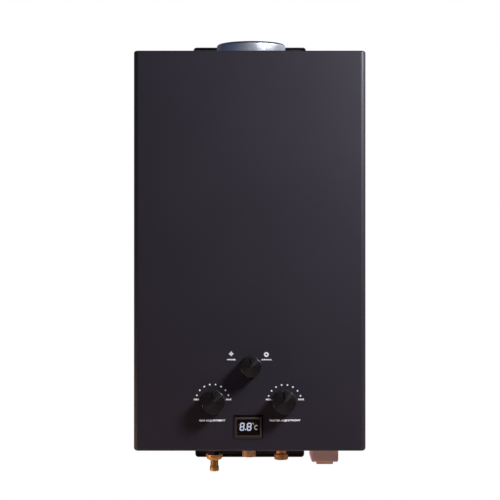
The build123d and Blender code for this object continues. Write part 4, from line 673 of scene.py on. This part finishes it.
def digit_eight(surface, x, z):
    """The seven lit bars of an eight, with round corners, leaning slightly."""
    w, h = digit_width / 2, digit_height / 2
    bar, bend, split = digit_bar, digit_bend, bar_split
    top = arc(w - bend, h - bend, bend, 90, 45, 3) + [(w - bar, h - bar), (bar - w, h - bar)]
    top += arc(bend - w, h - bend, bend, 135, 90, 3)
    side = arc(w - bend, h - bend - 2 * split, bend, 45, 0, 3) + [
        (w, bar / 2), (w - bar / 2, split),
        (w - bar, bar / 2 + split), (w - bar, h - bar - 2 * split),
    ]
    middle = [(-w + bar / 2 + split, 0), (-w + bar, bar / 2), (w - bar, bar / 2),
              (w - bar / 2 - split, 0), (w - bar, -bar / 2), (-w + bar, -bar / 2)]
    outlines = [middle, top, [(a, -b) for a, b in top]]
    outlines += [[(a * across, b * up) for a, b in side] for across in (1, -1) for up in (1, -1)]
    for outline in outlines:
        leaning = [(x + a + digit_lean * b, z + b) for a, b in outline]
        slab(surface, leaning, block_front - bar_thickness, bar_thickness)


numerals = bmesh.new()
digit_eight(numerals, left_digit_x, digit_z)
digit_eight(numerals, right_digit_x, digit_z)
point = arc(point_x, point_z, point_radius, 0, 342, 19)
slab(numerals, point, block_front - bar_thickness, bar_thickness)
blue_white = lit_bars("blue_white_lit_bars", "c6d8fa", "e0ecff", 1.75)
as_piece("numeral_bars", numerals, blue_white)

# The unit sign is an open letter C, narrower than it is high, and a slanting stroke before it.
unit_sign = bmesh.new()
letter_x, letter_z = 0.0095, casing_low + 0.0348
letter_outer, letter_inner, letter_gap = 0.0038, 0.0023, 50
outer_squeeze, inner_squeeze = 0.8, 0.7
stroke_radius = 0.0006
outside = arc(letter_x, letter_z, letter_outer, letter_gap, 360 - letter_gap, 22)
inside = arc(letter_x, letter_z, letter_inner, 360 - letter_gap, letter_gap, 22)
letter = [(letter_x + (a - letter_x) * outer_squeeze, b) for a, b in outside]
letter += [(letter_x + (a - letter_x) * inner_squeeze, b) for a, b in inside]
stroke = arc(0.0057, casing_low + 0.0396, stroke_radius, -135, 45, 8)
stroke += arc(0.0043, casing_low + 0.0413, stroke_radius, 45, 225, 8)
for outline in (letter, stroke):
    slab(unit_sign, outline, block_front - bar_thickness, bar_thickness)
grey_white = lit_bars("grey_white_lit_bars", "c9c9cc", "e3e3e6", 1.1)
as_piece("unit_bars", unit_sign, grey_white)


# ---- Printed marks -------------------------------------------------------------------------------
# Screen printed in white ink on the cover: eight dots round each lower knob, plain words, and a
# snowflake and a sun for the two positions of the upper knob. The ink glows faintly in its own
# colour, a painted glow that keeps the marks bright in shade.
ink, tree = start_material("white_screen_ink")
where = add(tree, "ShaderNodeTexCoord").outputs["Object"]
coverage = add(tree, "ShaderNodeTexNoise", {"Vector": where, "Scale": 1500.0})
shade = add(tree, "ShaderNodeMix", {
    "Factor": coverage.outputs[0], 6: linear("ecebee"), 7: linear("f8f7fa"),
}, data_type="RGBA")
# Painted glow: the ink emits a little of its own colour, so it stays bright in shade.
coat = add(tree, "ShaderNodeBsdfPrincipled", {
    "Base Color": shade.outputs[2], "Roughness": 0.5,
    "Emission Color": shade.outputs[2], "Emission Strength": 0.25,
})
add(tree, "ShaderNodeOutputMaterial", {"Surface": coat.outputs[0]})

ink_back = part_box("front_cover")[0][1]
ink_thickness, letter_boldness = 0.00008, 0.055


def dial_dots():
    """A Geometry Nodes tree: round ink dots along an arc, seen from the front."""
    group = bpy.data.node_groups.new("dial_dots", "GeometryNodeTree")
    for name, kind in (
        ("Radius", "NodeSocketFloat"), ("Sweep", "NodeSocketFloat"), ("Count", "NodeSocketInt"),
        ("Dot Radius", "NodeSocketFloat"), ("Thickness", "NodeSocketFloat"),
        ("Ink", "NodeSocketMaterial"),
    ):
        group.interface.new_socket(name, in_out="INPUT", socket_type=kind)
    group.interface.new_socket("Geometry", in_out="OUTPUT", socket_type="NodeSocketGeometry")
    sizes = add(group, "NodeGroupInput").outputs
    dot = add(group, "GeometryNodeMeshCylinder", {
        "Vertices": 20, "Radius": sizes["Dot Radius"], "Depth": sizes["Thickness"],
    })
    row = add(group, "GeometryNodeMeshLine", {"Count": sizes["Count"]})
    dots = add(group, "GeometryNodeInstanceOnPoints", {
        "Points": row.outputs[0], "Instance": dot.outputs[0],
    })
    number = add(group, "GeometryNodeInputIndex")
    last = add(group, "ShaderNodeMath", {0: sizes["Count"], 1: 1.0}, operation="SUBTRACT")
    share = add(group, "ShaderNodeMath", {
        0: number.outputs[0], 1: last.outputs[0],
    }, operation="DIVIDE")
    from_middle = add(group, "ShaderNodeMath", {0: share.outputs[0], 1: 0.5}, operation="SUBTRACT")
    angle = add(group, "ShaderNodeMath", {
        0: from_middle.outputs[0], 1: sizes["Sweep"],
    }, operation="MULTIPLY")
    across = add(group, "ShaderNodeMath", {0: angle.outputs[0]}, operation="SINE")
    up = add(group, "ShaderNodeMath", {0: angle.outputs[0]}, operation="COSINE")
    towards = add(group, "ShaderNodeCombineXYZ", {"X": across.outputs[0], "Z": up.outputs[0]})
    spot = add(group, "ShaderNodeVectorMath", {
        0: towards.outputs[0], "Scale": sizes["Radius"],
    }, operation="SCALE")
    moved = add(group, "GeometryNodeSetPosition", {
        "Geometry": dots.outputs[0], "Position": spot.outputs[0],
    })
    turned = add(group, "GeometryNodeRotateInstances", {
        "Instances": moved.outputs[0], "Rotation": (math.pi / 2, 0, 0),
    })
    real = add(group, "GeometryNodeRealizeInstances", {"Geometry": turned.outputs[0]})
    inked = add(group, "GeometryNodeSetMaterial", {
        "Geometry": real.outputs[0], "Material": sizes["Ink"],
    })
    add(group, "NodeGroupOutput", {0: inked.outputs[0]})
    return group


def grow(name, group, **sizes):
    """The plain mesh that a Geometry Nodes tree makes with these sizes."""
    seed = place(name, bpy.data.meshes.new(name))
    maker = seed.modifiers.new(name, "NODES")
    maker.node_group = group
    for socket in group.interface.items_tree:
        if socket.in_out == "INPUT" and socket.name in sizes:
            maker[socket.identifier] = sizes[socket.name]
    bpy.context.view_layer.update()
    shown = seed.evaluated_get(bpy.context.evaluated_depsgraph_get())
    mesh = bpy.data.meshes.new_from_object(shown)
    bpy.data.objects.remove(seed)
    return mesh


def gather(name, meshes, material):
    """Joins meshes, each with its place, into one piece on the heater."""
    joined = bmesh.new()
    for mesh, matrix in meshes:
        mesh.transform(matrix)
        joined.from_mesh(mesh)
    as_piece(name, joined, material)


dots_in_a_row, dot_sweep, dot_radius = 8, math.radians(139.4), 0.00125
dot_tree = dial_dots()
dot_meshes = []
for dial_x, dial_rise, dial_radius in ((-0.05465, 0.0737, 0.0247), (0.0512, 0.0727, 0.0250)):
    dots = grow("dots", dot_tree, **{
        "Radius": dial_radius, "Sweep": dot_sweep, "Count": dots_in_a_row,
        "Dot Radius": dot_radius, "Thickness": ink_thickness, "Ink": ink,
    })
    dial = Matrix.Translation((dial_x, ink_back - ink_thickness / 2, casing_low + dial_rise))
    dot_meshes.append((dots, dial))
gather("dial_dots", dot_meshes, ink)


def word_mesh(text, width, height):
    """A printed word as a thin plate of a given width and letter height, centred on its place."""
    name = text.lower().replace(" ", "_")
    letters = bpy.data.curves.new(name, "FONT")
    letters.body = text
    letters.align_x = "CENTER"
    letters.align_y = "CENTER"
    letters.resolution_u = 4
    letters.offset = letter_boldness
    drawn = place(name, letters)
    bpy.context.view_layer.update()
    shown = drawn.evaluated_get(bpy.context.evaluated_depsgraph_get())
    flat = bpy.data.meshes.new_from_object(shown)
    bpy.data.objects.remove(drawn)
    xs = [v.co.x for v in flat.vertices]
    ys = [v.co.y for v in flat.vertices]
    middle = Matrix.Translation((-(max(xs) + min(xs)) / 2, -(max(ys) + min(ys)) / 2, 0))
    scale = Matrix.Diagonal((width / (max(xs) - min(xs)), height / (max(ys) - min(ys)), 1, 1))
    upright = Matrix.Rotation(math.pi / 2, 4, "X")
    flat.transform(upright @ scale @ middle)
    solid = bmesh.new()
    solid.from_mesh(flat)
    bmesh.ops.remove_doubles(solid, verts=solid.verts, dist=1e-7)
    raised = bmesh.ops.extrude_face_region(solid, geom=solid.faces[:])
    moved = [part for part in raised["geom"] if isinstance(part, bmesh.types.BMVert)]
    bmesh.ops.translate(solid, verts=moved, vec=(0, -ink_thickness, 0))
    solid.to_mesh(flat)
    solid.free()
    return flat


def printed(text, x, width, rise, height):
    """A word's mesh with the place where it is printed on the cover."""
    return word_mesh(text, width, height), Matrix.Translation((x, ink_back, casing_low + rise))


# Each row of words has its rise above the casing's bottom edge and its letter height.
purpose_row, limit_row, season_row = (0.0448, 0.0035), (0.0760, 0.0027), (0.1346, 0.0021)
gather("printed_words", [
    printed("GAS ADJUSTMENT", -0.0551, 0.0388, *purpose_row),
    printed("WATER ADJUSTMENT", 0.0515, 0.0458, *purpose_row),
    printed("MIN", -0.0786, 0.0077, *limit_row),
    printed("MAX", -0.0310, 0.0082, *limit_row),
    printed("MIN", 0.0276, 0.0077, *limit_row),
    printed("MAX", 0.0758, 0.0089, *limit_row),
    printed("WINTER", -0.0272, 0.0135, *season_row),
    printed("SUMMER", 0.0250, 0.0155, *season_row),
], ink)


def strip(surface, x, z, angle, start, stop, width):
    """A straight printed line that runs away from x, z at an angle, between two distances."""
    along = Vector((math.cos(angle), math.sin(angle)))
    side = Vector((-along.y, along.x)) * width / 2
    ends = (along * start + side, along * start - side, along * stop - side, along * stop + side)
    slab(surface, [(x + end.x, z + end.y) for end in ends], ink_back - ink_thickness, ink_thickness)


# The snowflake has four long arms with forks, and four short ones between them.
snow = bmesh.new()
snow_x, snow_z = -0.0273, casing_low + 0.1433
arm_start, short_arm, long_arm, arm_width = 0.0006, 0.0016, 0.0037, 0.0007
fork_reach, fork_start, fork_end, fork_width = 0.0028, 0.0004, 0.0019, 0.0008
for arm in range(8):
    angle = math.radians(45 * arm)
    strip(snow, snow_x, snow_z, angle, arm_start, short_arm if arm % 2 else long_arm, arm_width)
    if arm % 2 == 0:
        fork_x = snow_x + fork_reach * math.cos(angle)
        fork_z = snow_z + fork_reach * math.sin(angle)
        for turn in (-1, 1):
            back = angle + turn * math.radians(135)
            strip(snow, fork_x, fork_z, back, fork_start, fork_end, fork_width)
as_piece("winter_sign", snow, ink)

# The sun is a ring with twelve short rays.
sun = bmesh.new()
sun_x, sun_z = 0.0245, casing_low + 0.1423
ring_outer, ring_inner = 0.0032, 0.0014
ray_start, ray_end, ray_width = 0.0033, 0.0038, 0.0011
ring = arc(sun_x, sun_z, ring_outer, 0, 360, 24) + arc(sun_x, sun_z, ring_inner, 360, 0, 24)
slab(sun, ring, ink_back - ink_thickness, ink_thickness)
for ray in range(12):
    strip(sun, sun_x, sun_z, math.radians(30 * ray), ray_start, ray_end, ray_width)
as_piece("summer_sign", sun, ink)


# ---- Battery box ---------------------------------------------------------------------------------
# Injection moulded in a warm grey, slightly translucent polypropylene with a matt skin. The door is
# of a paler batch, and its finger tab is brown.
for name, dark_shade, light_shade, node in (
    ("warm_grey_polypropylene", "ecc9c0", "f6d3ca", "battery_box"),
    ("pale_grey_polypropylene", "ead6d0", "f4e2dc", "battery_door"),
):
    polypropylene, tree = start_material(name)
    where = add(tree, "ShaderNodeTexCoord").outputs["Object"]
    flow = add(tree, "ShaderNodeTexNoise", {"Vector": where, "Scale": 45.0, "Detail": 3.0})
    shade = add(tree, "ShaderNodeMix", {
        "Factor": flow.outputs[0], 6: linear(dark_shade), 7: linear(light_shade),
    }, data_type="RGBA")
    coat = add(tree, "ShaderNodeBsdfPrincipled", {
        "Base Color": shade.outputs[2], "Roughness": 0.5,
        "Subsurface Weight": 0.3, "Subsurface Scale": 0.002,
    })
    add(tree, "ShaderNodeOutputMaterial", {"Surface": coat.outputs[0]})
    give(polypropylene, node)

tab_plastic, tree = start_material("brown_moulded_tab")
where = add(tree, "ShaderNodeTexCoord").outputs["Object"]
flow = add(tree, "ShaderNodeTexNoise", {"Vector": where, "Scale": 90.0, "Detail": 3.0})
shade = add(tree, "ShaderNodeMix", {
    "Factor": flow.outputs[0], 6: linear("dba47c"), 7: linear("ecb68c"),
}, data_type="RGBA")
coat = add(tree, "ShaderNodeBsdfPrincipled", {"Base Color": shade.outputs[2], "Roughness": 0.45})
add(tree, "ShaderNodeOutputMaterial", {"Surface": coat.outputs[0]})
give(tab_plastic, "door_tab")

# The cells have a printed film wrap, dark grey with a copper-coloured band above.
wrap, tree = start_material("grey_cell_wrap")
band_from = casing_low + 0.028
where = add(tree, "ShaderNodeTexCoord").outputs["Object"]
height = add(tree, "ShaderNodeSeparateXYZ", {"Vector": where}).outputs["Z"]
band = add(tree, "ShaderNodeMath", {0: height, 1: band_from}, operation="GREATER_THAN")
shade = add(tree, "ShaderNodeMix", {
    "Factor": band.outputs[0], 6: linear("2c2d31"), 7: linear("b0753a"),
}, data_type="RGBA")
coat = add(tree, "ShaderNodeBsdfPrincipled", {"Base Color": shade.outputs[2], "Roughness": 0.25})
add(tree, "ShaderNodeOutputMaterial", {"Surface": coat.outputs[0]})
give(wrap, "battery_cells")
